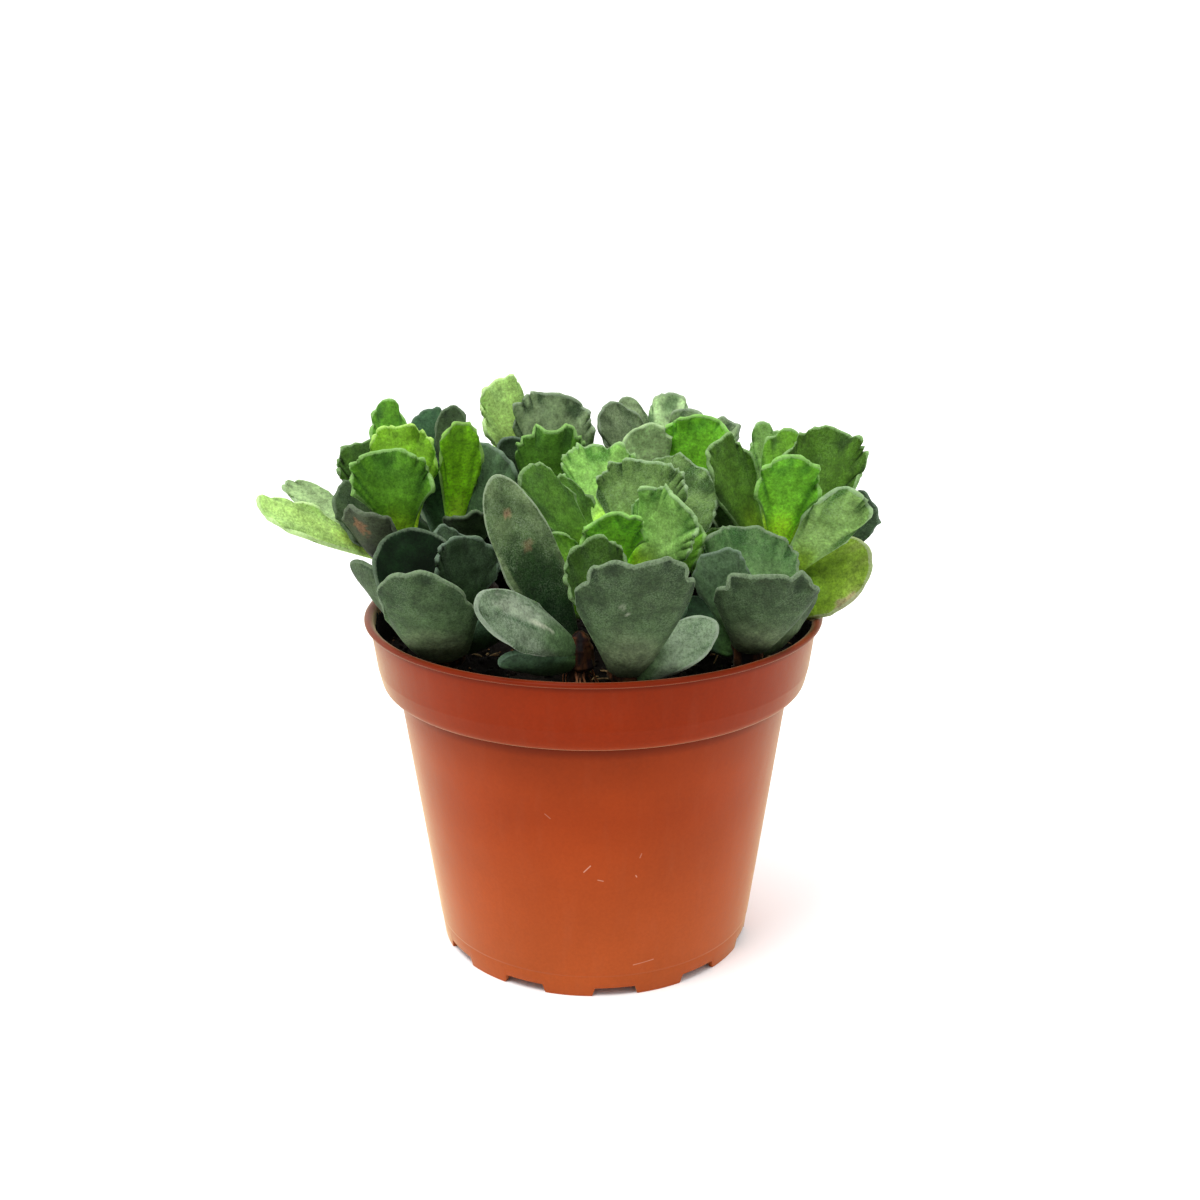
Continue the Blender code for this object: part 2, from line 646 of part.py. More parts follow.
def make_soil(heads, paint):
    """Potting mix that fills the pot to just under the band's lip, with a blind hole for each stem."""
    rng = np.random.default_rng(SEED)
    walls = [(r - FIT_GAP, z) for r, z in inner_wall()[:3]]
    walls[0] = (walls[0][0], walls[0][1] + FIT_GAP)
    (r0, z0), (r1, z1) = inner_wall()[2:4]
    brim = r0 + (r1 - r0) * (SOIL_LEVEL - z0) / (z1 - z0) - FIT_GAP
    rings = [*walls, (brim, SOIL_LEVEL)] + [(brim * f, None) for f in (0.75, 0.5, 0.25)]
    points, faces = [(0, 0, walls[0][1])], []
    for r, z in rings:
        for k in range(SOIL_SIDES):
            a = 2 * math.pi * k / SOIL_SIDES
            top = SOIL_LEVEL + SOIL_MOUND * (1 - (r / brim) ** 2) + rng.uniform(-1, 1) * SOIL_BUMP
            points.append((r * math.sin(a), -r * math.cos(a), top if z is None else z))
    points.append((0, 0, SOIL_LEVEL + SOIL_MOUND))
    last = len(points) - 1
    for k in range(SOIL_SIDES):
        n = (k + 1) % SOIL_SIDES
        faces.append((0, 1 + n, 1 + k))
        for ring in range(len(rings) - 1):
            a, b = 1 + ring * SOIL_SIDES, 1 + (ring + 1) * SOIL_SIDES
            faces += [(a + k, a + n, b + n), (a + k, b + n, b + k)]
        faces.append((last, last - SOIL_SIDES + k, last - SOIL_SIDES + n))
    soil = add_object("soil", points, faces, paint)
    holes = new_collection("stem holes")
    for head in heads:
        bottom = SOIL_LEVEL - STEM_DEPTH - FIT_GAP
        shape = prism(head.root, STEM_RADIUS + FIT_GAP, bottom, SOIL_LEVEL + 12, 8)
        add_object("hole_" + head.name, *shape, collection=holes)
    boolean(soil, "DIFFERENCE", holes)
    return soil


def make_stem(head, paint):
    """Short woody stem, from its hole in the soil up to the crown."""
    line = stem_line(head)
    points, faces = [], []
    for i, centre in enumerate(line):
        radius = STEM_RADIUS * (1.0 - 0.12 * i / (len(line) - 1))
        for k in range(STEM_SIDES):
            a = 2 * math.pi * k / STEM_SIDES
            points.append(centre + radius * np.array([math.cos(a), math.sin(a), 0]))
    for i in range(len(line) - 1):
        for k in range(STEM_SIDES):
            n, low, high = (k + 1) % STEM_SIDES, i * STEM_SIDES, (i + 1) * STEM_SIDES
            faces.append((low + k, low + n, high + n, high + k))
    faces.append(tuple(range(STEM_SIDES))[::-1])
    faces.append(tuple(range(len(points) - STEM_SIDES, len(points))))
    return add_object("stem_" + head.name, points, faces, paint)


def make_rosette(head, leaves, paint):
    """Crown and leaves of one head, joined into one solid."""
    x, y = head.axis
    points = []
    rings = ((head.low, 0.75), (head.low + 1.0, 1.0), (head.top - 4, 0.9), (head.top, 0.5))
    for z, share in rings:
        for k in range(CROWN_SIDES):
            a = 2 * math.pi * k / CROWN_SIDES
            r = CROWN_RADIUS * share
            points.append((x + r * math.cos(a), y + r * math.sin(a), z))
    faces = [tuple(range(CROWN_SIDES))[::-1], tuple(range(len(points) - CROWN_SIDES, len(points)))]
    for i in range(len(rings) - 1):
        for k in range(CROWN_SIDES):
            n, low, high = (k + 1) % CROWN_SIDES, i * CROWN_SIDES, (i + 1) * CROWN_SIDES
            faces.append((low + k, low + n, high + n, high + k))
    crown = add_object("rosette_" + head.name, points, faces, paint)
    parts = new_collection("leaves of " + head.name)
    for i, leaf in enumerate(leaves):
        add_object(f"leaf_{head.name}_{i}", *leaf_mesh(leaf), collection=parts)
    boolean(crown, "UNION", parts)
    return crown


def main():
    for old in list(bpy.data.objects):
        bpy.data.objects.remove(old)
    terracotta = material("terracotta_plastic", (0.50, 0.13, 0.045), 0.38)
    earth = material("potting_mix", (0.03, 0.022, 0.016), 0.95)
    bark = material("stem_bark", (0.16, 0.07, 0.03), 0.85)
    bright = material("bright_leaf", (0.13, 0.30, 0.045), 0.55)
    dusky = material("dusky_leaf", (0.09, 0.17, 0.085), 0.65)
    heads = rosettes()
    leaves = placed_leaves(heads)
    relax(heads, leaves)
    make_pot(terracotta)
    make_soil(heads, earth)
    for head in heads:
        make_stem(head, bark)
        own = [leaf for leaf in leaves if leaf.rosette is head]
        make_rosette(head, own, bright if head.bright else dusky)


main()
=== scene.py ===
import math
from dataclasses import dataclass

import bmesh
import bpy
import numpy as np
from mathutils import Matrix, Vector


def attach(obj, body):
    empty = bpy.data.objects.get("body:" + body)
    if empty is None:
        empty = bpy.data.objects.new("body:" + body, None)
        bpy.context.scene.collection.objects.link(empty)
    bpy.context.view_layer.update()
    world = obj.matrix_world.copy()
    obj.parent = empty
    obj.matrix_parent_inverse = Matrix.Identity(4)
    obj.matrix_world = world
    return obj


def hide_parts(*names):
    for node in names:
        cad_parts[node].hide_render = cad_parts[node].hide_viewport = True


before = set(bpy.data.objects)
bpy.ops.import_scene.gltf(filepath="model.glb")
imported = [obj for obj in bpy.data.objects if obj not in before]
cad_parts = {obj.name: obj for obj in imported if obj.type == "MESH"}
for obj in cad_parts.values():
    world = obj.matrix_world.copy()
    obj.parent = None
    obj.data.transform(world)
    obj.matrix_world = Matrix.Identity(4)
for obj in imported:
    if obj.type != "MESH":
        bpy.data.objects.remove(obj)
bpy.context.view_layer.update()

# Lengths are in millimetres about the pot's own axis, as in the CAD. A mesh is made in metres
MM = 0.001
SEED = 11

# The foliage leans to one side, so the pot's axis stands off the origin, which is under the whole's middle
POT_AXIS = (4.2, -1.9)

# Pot: one thin moulded shell, flared band on top, ring of feet below
POT_HEIGHT = 80.0
LIP_RADIUS = 52.5
LIP_BEAD = 1.4
BAND_TOP_RADIUS = 51.2
BAND_FOOT_RADIUS = 49.8
BAND_EDGE_RADIUS = 47.4
BAND_HEIGHT = 16.4
BAND_FOOT = POT_HEIGHT - BAND_HEIGHT
BAND_CORNER = 4.6
BODY_TOP_RADIUS = 45.4
FOOT_RADIUS = 36.7
WALL = 1.0
BASE_UNDERSIDE = 2.6
BASE_THICKNESS = 1.2
FOOT_COUNT = 11
NOTCH_START_DEG = -1.2
NOTCH_SLOPE_DEG = 1.3
NOTCH_HEIGHT = 2.1
DRAIN_RADIUS = 3.2
DRAIN_RING = 24.0
DRAIN_COUNT = 4

# Soil
SOIL_LEVEL = 70.0
SOIL_MOUND = 3.0
SOIL_BUMP = 0.9
FIT_GAP = 0.35

# Stems and the crowns on them
STEM_RADIUS = 2.3
STEM_DEPTH = 6.0
CROWN_RADIUS = 3.6
ROOT_OFFSET = 2.5

# How far round a leaf's margin runs to each side of its tip
FAN_DEG = 98.0
# A leaf's width is measured over the lobes of its margin; this share of it is the blade itself
BODY_SHARE = 0.92
EDGE_THICKNESS = 1.0

# Heads that only the back shows: leaves follow each other round the stem by the golden angle
GOLDEN_DEG = 137.5
REAR_LOW = 78
REAR_TOP = 90
REAR_LEAVES = 9
REAR_REACH = 22

# Bending the leaves clear of each other: probe points on each leaf push apart and turn it about its seat
PROBE_COLUMNS = (-0.95, -0.5, 0.0, 0.5, 0.95)
PROBE_ROWS = (0.30, 0.48, 0.65, 0.82, 0.97)
CLEARANCE = 1.3
RELAX_STEPS = 160
# Leaves that the front shows keep their place in that view: they give way mostly along this direction
VIEW = np.array([0.0, 0.957, -0.291])
SIDEWAYS = 0.3
# Pull back to where a leaf was placed, sideways and in depth, and how fast its face turns back
HOMING = 1.0
HOMING_FREE = 0.25
HOMING_DEPTH = 0.2
FACE_HOMING = 0.03
# Leaves of one head may meet below this share of their length, and none turns faster than this a step
MEETING_SHARE = 0.45
LARGEST_TURN = 0.05
STIFFNESS = 300.0
PROBE_STIFFNESS = 0.25
LIP_CORE = 1.2
LIP_CLEAR = 1.8


@dataclass
class Form:
    """What leaves of one age share. Lengths are shares of the leaf's length unless they say mm."""

    shoulder: float  # where along the leaf the margin's arc is centred
    flare: float  # above 1 the stalk stays narrow and then fans out, below 1 the leaf is full from the start
    stalk_mm: float
    thick_mm: float
    waves: float  # how many waves run round the margin
    ripple_mm: float  # their height
    cup: float
    bend: float
    scallop_mm: float  # how far the margin's lobes stand out and its notches go in
    square: float  # 1 for a round top, less for a squarer one


FORMS = {
    "young": Form(0.68, 1.50, 3.8, 2.9, 3, 0.95, 0.10, 0.10, 0.60, 0.76),
    "grown": Form(0.66, 1.40, 4.2, 3.6, 3, 0.90, 0.10, 0.08, 0.60, 0.76),
    "old": Form(0.62, 1.05, 4.3, 4.6, 2.5, 0.85, 0.08, 0.04, 0.45, 0.82),
    "spoon": Form(0.52, 0.75, 4.4, 5.0, 2.5, 0.35, 0.06, 0.04, 0.20, 0.95),
    "bowl": Form(0.52, 0.75, 4.4, 3.6, 2.5, 0.35, 0.34, 0.08, 0.20, 0.95),
    "broad": Form(0.64, 1.10, 7.0, 4.4, 3, 0.75, 0.08, 0.04, 0.45, 0.80),
    "scoop": Form(0.52, 0.70, 8.5, 5.0, 2.5, 0.35, 0.06, 0.04, 0.30, 0.90),
}


@dataclass
class Leaf:
    """One leaf: tip is the middle of its margin, and look the compass angle that its upper face turns to.

    A look of 0 faces the viewer.
    """

    tip: tuple
    seat: float  # height at which it leaves the crown
    width: float
    look: float
    kind: str
    rise: float = 30.0  # how far the upper face is turned up, in degrees
    free: bool = False  # moves aside as easily as backwards
    skew: float = 0.0  # how far its right corner stands higher than its left one, as a share of its width


@dataclass
class Rosette:
    name: str
    root: tuple  # where its stem leaves the soil, x and y
    axis: tuple  # the crown's x and y
    low: float
    top: float
    bright: bool
    leaves: list


def rear_head(rng, name, root, axis, bright, first_deg):
    """A head by the golden angle: old leaves low and leaning out, young ones high and upright."""
    out = []
    for i in range(REAR_LEAVES):
        age = 1 - i / REAR_LEAVES
        turn = first_deg + i * GOLDEN_DEG + rng.uniform(-12, 12)
        lean = math.radians(16 + 48 * age + rng.uniform(-6, 6))
        length = REAR_REACH * (0.88 + 0.16 * age + rng.uniform(-0.08, 0.08))
        seat = REAR_LOW + 2.5 + (REAR_TOP - REAR_LOW - 4) * (1 - age)
        side = length * math.sin(lean)
        tip = (axis[0] + side * math.sin(math.radians(turn)), axis[1] - side * math.cos(math.radians(turn)),
               seat + length * math.cos(lean))
        kind = "spoon" if age > 0.8 else "old" if age > 0.45 else "grown" if age > 0.15 else "young"
        width = length * {"spoon": 0.62, "old": 0.72, "grown": 0.70, "young": 0.60}[kind]
        out.append(Leaf(tip, seat, width, turn + 180, kind, free=True))
    return Rosette(name, root, axis, REAR_LOW, REAR_TOP, bright, out)


def rosettes():
    """The heads as they stand in the pot: the ones seen from the front by place, the rear ones by rule."""
    rng = np.random.default_rng(SEED)
    return [
        Rosette("left", (-36, -2), (-42, -1), 84, 99, True, [
            Leaf((-45, -8, 118), 96, 18.5, 0, "young"),
            Leaf((-43, 5, 121), 97, 16, -5, "young"),
            Leaf((-52.5, 5, 117.5), 93, 16, 32, "grown"),
            Leaf((-48, 14, 125.5), 97, 9, 20, "grown"),
            Leaf((-72.5, -12, 107), 92, 9, 0, "young", 55),
            Leaf((-71, 9, 107), 94, 7, 0, "grown", 60),
            Leaf((-57, -2, 109), 91, 12, 35, "old"),
            Leaf((-51, -17, 107), 89, 13, 155, "old"),
        ]),
        Rosette("left_back", (-30, 9), (-33, 12), 80, 101, False, [
            Leaf((-29, -2, 123), 92, 10, 15, "young"),
            Leaf((-37, 5, 113), 91, 9, 0, "old"),
            Leaf((-33, 20, 123), 98, 8, 0, "old"),
            Leaf((-35, 27, 116), 96, 9, 0, "old"),
            Leaf((-39, 22, 122), 97, 12, 15, "old"),
            Leaf((-22, 3, 116), 91, 19, -15, "old"),
            Leaf((-27, -4, 103), 88, 12, -160, "old"),
            Leaf((-53, 22, 104), 89, 14, 90, "old", free=True),
            Leaf((-19, -2, 93), 83, 15, 20, "old", 50, True),
        ]),
        Rosette("front_left", (-31.5, -24), (-31.5, -24), 75, 88, False, [
            Leaf((-36, -43, 100), 77, 20, 180, "scoop", skew=0.2),
            Leaf((-41, -16, 102), 82, 19.5, 5, "bowl"),
            Leaf((-26, -25, 103), 84, 15, 30, "grown"),
            Leaf((-32, -16, 103), 83, 12, 55, "old"),
            Leaf((-53, -15, 95), 78, 13, 140, "spoon"),
            Leaf((-14, -24, 87), 78, 13, 150, "spoon", 60, True),
        ]),
        Rosette("front", (-3, -36), (-3, -36), 78, 86, False, [
            Leaf((-20, -31, 117), 82, 13.5, 0, "spoon"),
            Leaf((-23, -52, 97), 82, 12, 0, "spoon", 35),
            Leaf((-18, -48, 84), 79, 8, 180, "spoon"),
        ]),
        Rosette("front_low", (6.5, -40), (6.5, -40), 77, 85, False, [
            Leaf((8.5, -56, 106), 79, 24, 180, "broad", skew=-0.25),
            Leaf((24, -47, 90), 78, 10, 0, "spoon", 40),
            Leaf((18, -31, 95), 79, 10, 160, "old"),
            Leaf((3, -32, 92), 80, 12, 0, "old", 40, True),
            Leaf((-1.5, -34, 104), 83, 14, 0, "grown"),
        ]),
        Rosette("front_right", (32, -25), (33, -27), 75, 88, False, [
            Leaf((36, -44, 99.5), 79.5, 21.5, 180, "broad"),
            Leaf((34, -19, 103), 82, 22, 0, "old"),
            Leaf((25, -31, 101), 83, 13, 170, "old"),
            Leaf((48, -22, 90), 78, 12, 180, "spoon"),
            Leaf((18, -18, 86), 78, 12, 0, "spoon", 60, True),
        ]),
        Rosette("middle", (4, -10), (5, -12), 79, 98, True, [
            Leaf((1, -2, 118), 94, 19, 0, "young"),
            Leaf((13, -7, 115), 94, 22, -20, "grown"),
            Leaf((24, 1, 112.5), 90, 23, -25, "old"),
            Leaf((19, -22, 109.5), 91, 18.5, -15, "young"),
            Leaf((4, -23, 107), 92, 14, 0, "young"),
            Leaf((-15, -14, 115), 93, 12, 40, "grown"),
            Leaf((-8, -6, 111), 91, 11, 40, "grown"),
            Leaf((-14, -21, 101), 86, 14, 10, "old", free=True),
            Leaf((23, -8, 102), 87, 16, -25, "old", free=True),
            Leaf((-13, -7, 91), 82, 15, 15, "spoon", 50, True),
            Leaf((20, -24, 94), 82, 15, -25, "spoon", 50, True),
        ]),
        Rosette("right", (36, -3), (41, -3), 79, 98, True, [
            Leaf((43, -14, 117.5), 95, 14, 0, "young"),
            Leaf((27, -6, 119.5), 93, 13, 30, "grown"),
            Leaf((56, 4, 119.5), 93, 19, -20, "grown"),
            Leaf((56.5, -18, 110.5), 88, 12, 20, "grown"),
            Leaf((40.5, 12, 120), 96, 9, 0, "young"),
            Leaf((44.5, 10, 118), 96, 11, 0, "grown"),
            Leaf((63.5, 2, 104), 89, 13, 20, "old"),
            Leaf((62, -10, 94.5), 80, 18, 0, "spoon", 35),
            Leaf((24, -2, 96), 82, 17, -15, "old", 50, True),
        ]),
        Rosette("back_left", (-11, 18), (-13, 18), 88, 106, False, [
            Leaf((-22.5, 19, 129), 104, 12, 10, "young"),
            Leaf((-8.5, 18, 126), 102, 20, 0, "grown"),
            Leaf((-22, 27, 117), 101, 8, 0, "young"),
            Leaf((-19, 11, 117), 98, 10, 0, "old"),
            Leaf((-9, 7, 120), 98, 16, 180, "grown"),
            Leaf((-12, 34, 107), 94, 13, 180, "old", free=True),
            Leaf((-12, 6, 97), 90, 13, 0, "spoon", 50, True),
        ]),
        Rosette("back_right", (15, 19), (17, 19), 88, 106, False, [
            Leaf((3.5, 21, 123), 102, 12, 25, "old"),
            Leaf((8, 30, 123), 102, 9, 0, "old"),
            Leaf((18.5, 25, 125), 103, 11, 0, "old"),
            Leaf((24, 20, 122), 102, 12, -30, "old"),
            Leaf((26, 8, 122), 98, 18, 0, "grown"),
            Leaf((12, 9, 120), 99, 12, 0, "grown"),
            Leaf((34, 24, 118), 100, 11, -50, "grown"),
            Leaf((5, 10, 102), 91, 13, 190, "old", free=True),
            Leaf((22, 9, 104), 91, 14, 0, "old", free=True),
        ]),
        rear_head(rng, "rear_left", (-25, 30), (-29, 35), False, 230),
        rear_head(rng, "rear", (3, 39), (3, 42), True, 150),
        rear_head(rng, "rear_right", (31, 26), (35, 29.5), False, 110),
    ]


def unit(v):
    return v / np.linalg.norm(v)


def turned(v, axis, angle):
    """The vectors v turned about a unit axis by an angle in radians."""
    c, s = math.cos(angle), math.sin(angle)
    return v * c + np.cross(axis, v) * s + np.outer(v @ axis, axis).reshape(v.shape) * (1 - c)


def rounded_power(value, power):
    """A power of the value's size, with the value's own sign."""
    return np.sign(value) * np.abs(value) ** power


def thickness_over(form, width, s, t):
    """A leaf's thickness at grid points: thickest above the stalk, thin at the margin."""
    along = 0.66 + 0.42 * np.sin(math.pi * t**0.8)
    across = np.sqrt(np.clip(1 - 0.92 * s**2, 0, 1))
    body = form.thick_mm * along * across * min(1.0, 0.55 + width / 25)
    return np.maximum(EDGE_THICKNESS + (body - EDGE_THICKNESS) * (1 - t**3), EDGE_THICKNESS)


def blade(form, length, width, phase, skew, s, t):
    """Middle surface and thickness, at grid points s and t, of a leaf along +Y with its upper face to +Z.

    s runs from -1 at the left edge to 1 at the right, and t from 0 at the stalk to 1 at the margin.
    """
    fan = np.radians(FAN_DEG) * s
    shoulder = form.shoulder * length
    lobe = form.scallop_mm * np.cos(form.waves * math.pi * (s + 1)) * min(1.0, width / 14)
    margin_x = (width / 2 + lobe) * rounded_power(np.sin(fan), form.square)
    margin_y = shoulder + (length - shoulder + lobe) * rounded_power(np.cos(fan), form.square)
    spread = t**form.flare
    x = form.stalk_mm / 2 * s * (1 - spread) + margin_x * spread
    y = margin_y * t + skew * x * t**2
    ripple_mm = form.ripple_mm * min(1.0, width / 16) ** 2
    ripple = np.cos(form.waves * math.pi * (s + 1) + phase) * ripple_mm * t**4
    lift = form.cup * 4 * x**2 / width + ripple
    curl = form.bend * (y / length) ** 2 * length
    return np.stack([x, y, lift + curl], -1), thickness_over(form, width, s, t)


class Placed:
    """A leaf in its place: where it grows from and its three directions, which relaxing may turn."""

    def __init__(self, rosette, leaf, order):
        self.rosette, self.leaf, self.form = rosette, leaf, FORMS[leaf.kind]
        tip = np.array(leaf.tip, float)
        axis = np.array([*rosette.axis, leaf.seat], float)
        outward = (tip - axis) * (1, 1, 0)
        self.base = axis + outward / max(np.linalg.norm(outward), 4.0) * ROOT_OFFSET
        self.length = float(np.linalg.norm(tip - self.base))
        self.width = leaf.width * BODY_SHARE
        self.phase = math.pi * (order % 2)
        along = unit(tip - self.base)
        look, rise = math.radians(leaf.look), math.radians(leaf.rise)
        seed = np.array([math.sin(look) * math.cos(rise), -math.cos(look) * math.cos(rise), math.sin(rise)])
        face = unit(seed - along * (seed @ along))
        self.axes = np.stack([np.cross(along, face), along, face])
        self.scale = 1 / math.hypot(1, self.form.bend)
        self.tilt = math.atan2(self.form.bend, 1)

    def local(self, s, t):
        """Middle surface and thickness in the leaf's own axes, with the tip on its +Y."""
        mid, thickness = blade(self.form, self.length * self.scale, self.width, self.phase,
                               self.leaf.skew, s, t)
        return turned(mid, np.array([1.0, 0.0, 0.0]), -self.tilt), thickness

    def world(self, points):
        return self.base + points @ self.axes


def placed_leaves(heads):
    return [Placed(head, leaf, i) for head in heads for i, leaf in enumerate(head.leaves)]


def stem_line(rosette, bends=3):
    """Middle line of a stem: upright in its hole, then leaning over to just under its crown."""
    root, axis = np.array(rosette.root, float), np.array(rosette.axis, float)
    top = rosette.low - FIT_GAP
    start = min(SOIL_LEVEL + SOIL_MOUND + 1.5, top - 1)
    line = [[*root, SOIL_LEVEL - STEM_DEPTH], [*root, start]]
    for i in range(1, bends + 1):
        f = i / bends
        line.append([*(root + (axis - root) * f**1.3), start + (top - start) * f])
    return np.array(line)


def obstacles(heads):
    """Points of the stems and crowns with their radii, and which head each belongs to."""
    points, radii, owner = [], [], []
    for i, head in enumerate(heads):
        for p in stem_line(head, 6)[1:]:
            points.append(p)
            radii.append(STEM_RADIUS)
            owner.append(i)
        for z in np.linspace(head.low, head.top, 6):
            points.append([*head.axis, z])
            radii.append(CROWN_RADIUS)
            owner.append(i)
    return np.array(points), np.array(radii), np.array(owner)


def push_from_pot(world, radius):
    """How far each point must move to clear the pot's lip and wall and the soil."""
    push = np.zeros_like(world)
    out = np.hypot(world[..., 0], world[..., 1])
    way = world[..., :2] / np.maximum(out, 1)[..., None]
    lip_out, lip_up = out - (LIP_RADIUS - LIP_CORE), world[..., 2] - (POT_HEIGHT - LIP_CORE)
    far = np.maximum(np.hypot(lip_out, lip_up), 0.1)
    deep = np.clip(LIP_CLEAR + radius - far, 0, None)
    push[..., :2] += way * (lip_out / far * deep)[..., None]
    push[..., 2] += lip_up / far * deep
    below = world[..., 2] < POT_HEIGHT
    wall = np.where(lip_out < 0, np.minimum(LIP_RADIUS - 4.2 - radius - out, 0),
                    np.maximum(LIP_RADIUS + 0.5 + radius - out, 0))
    push[..., :2] += way * (wall * below)[..., None]
    inside = out < LIP_RADIUS
    push[..., 2] += np.clip(SOIL_LEVEL + SOIL_MOUND + SOIL_BUMP + radius - world[..., 2], 0, None) * inside
    return push


def relax(heads, leaves):
    """Turns each leaf about its seat until the leaves clear each other, the stems, the pot and the soil.

    Leaves seen from the front give way backwards and forwards more easily than sideways.
    """
    s, t = (g.ravel() for g in np.meshgrid(PROBE_COLUMNS, PROBE_ROWS))
    probes, thick = (np.array(v) for v in zip(*(leaf.local(s, t) for leaf in leaves)))
    radius = thick / 2
    base = np.array([leaf.base for leaf in leaves])
    length = np.array([leaf.length for leaf in leaves])
    owner = np.array([heads.index(leaf.rosette) for leaf in leaves])
    free = np.array([leaf.leaf.free for leaf in leaves])
    sideways, homing = np.where(free, 1.0, SIDEWAYS), np.where(free, HOMING_FREE, HOMING)
    axes = np.array([leaf.axes for leaf in leaves])
    face, tip = axes[:, 2].copy(), base + length[:, None] * axes[:, 1]
    hard, hard_radius, hard_owner = obstacles(heads)
    own = (owner[:, None] == hard_owner[None])[:, None]
    low = t < MEETING_SHARE
    for _ in range(RELAX_STEPS):
        world = base[:, None] + probes @ axes
        normal, middle = axes[:, 2], world.mean(1)
        size = np.linalg.norm(world - middle[:, None], axis=2).max(1)
        gap = np.linalg.norm(middle[:, None] - middle[None], axis=2) - size[:, None] - size[None]
        a, b = np.nonzero(np.triu(gap < 3, 1))
        kin = owner[a] == owner[b]
        dist = np.linalg.norm(world[a][:, :, None] - world[b][:, None], axis=3)
        room = np.where(kin, 0.0, CLEARANCE)[:, None, None]
        depth = np.clip(radius[a][:, :, None] + radius[b][:, None] + room - dist, 0, None)
        depth[kin[:, None, None] & (low[None, :, None] | low[None, None, :])] = 0
        apart = middle[a] - middle[b]
        side_a = np.sign(np.einsum("ij,ij->i", apart, normal[a]))
        side_b = np.sign(np.einsum("ij,ij->i", apart, normal[b]))
        way = unit_rows(normal[b] * side_b[:, None] + normal[a] * side_a[:, None] + 0.5 * unit_rows(apart))
        push = np.zeros_like(world)
        np.add.at(push, a, depth.max(2)[..., None] * way[:, None])
        np.add.at(push, b, -depth.max(1)[..., None] * way[:, None])
        along_view = (push @ VIEW)[..., None] * VIEW
        push = along_view + (push - along_view) * sideways[:, None, None]
        away = world[:, :, None] - hard[None, None]
        far = np.linalg.norm(away, axis=3)
        deep = np.clip(radius[..., None] + CLEARANCE / 2 + hard_radius - far, 0, None)
        deep[np.broadcast_to(own, deep.shape)] = 0
        push += (away / np.maximum(far, 0.1)[..., None] * deep[..., None]).sum(2)
        push += push_from_pot(world, radius + CLEARANCE / 2)
        torque = np.cross(world - base[:, None], push).sum(1)
        now = length[:, None] * axes[:, 1]
        home = tip - base - now
        home -= (home @ VIEW)[:, None] * VIEW * (1 - HOMING_DEPTH)
        torque += np.cross(now, home * homing[:, None])
        inertia = ((world - base[:, None])**2).sum((1, 2)) * PROBE_STIFFNESS + STIFFNESS
        for i, turn in enumerate(torque / inertia[:, None]):
            angle = max(np.linalg.norm(turn), 1e-9)
            axes[i] = turned(axes[i], turn / angle, min(angle, LARGEST_TURN))
            axes[i, 2] += face[i] * FACE_HOMING
            axes[i] = squared(axes[i])
    for leaf, relaxed in zip(leaves, axes):
        leaf.axes = relaxed


def unit_rows(v):
    return v / np.maximum(np.linalg.norm(v, axis=1, keepdims=True), 1e-9)


def squared(axes):
    """The three directions made exactly square again, keeping the leaf's length direction."""
    along = unit(axes[1])
    face = unit(axes[2] - along * (axes[2] @ along))
    return np.stack([np.cross(along, face), along, face])


# Skins

@dataclass
class Skin:
    """Colours of a leaf: at its stalk, over its blade, below its margin (also painted into its hollows as
    shade) and on the margin.
    """

    stalk: tuple
    blade: tuple
    tip: tuple
    rim: tuple
    hollow_shade: float = 0.5  # how much darker the hollows of the waves are painted, as shade
    frost: float = 0.3  # how much pale down lies on the blade


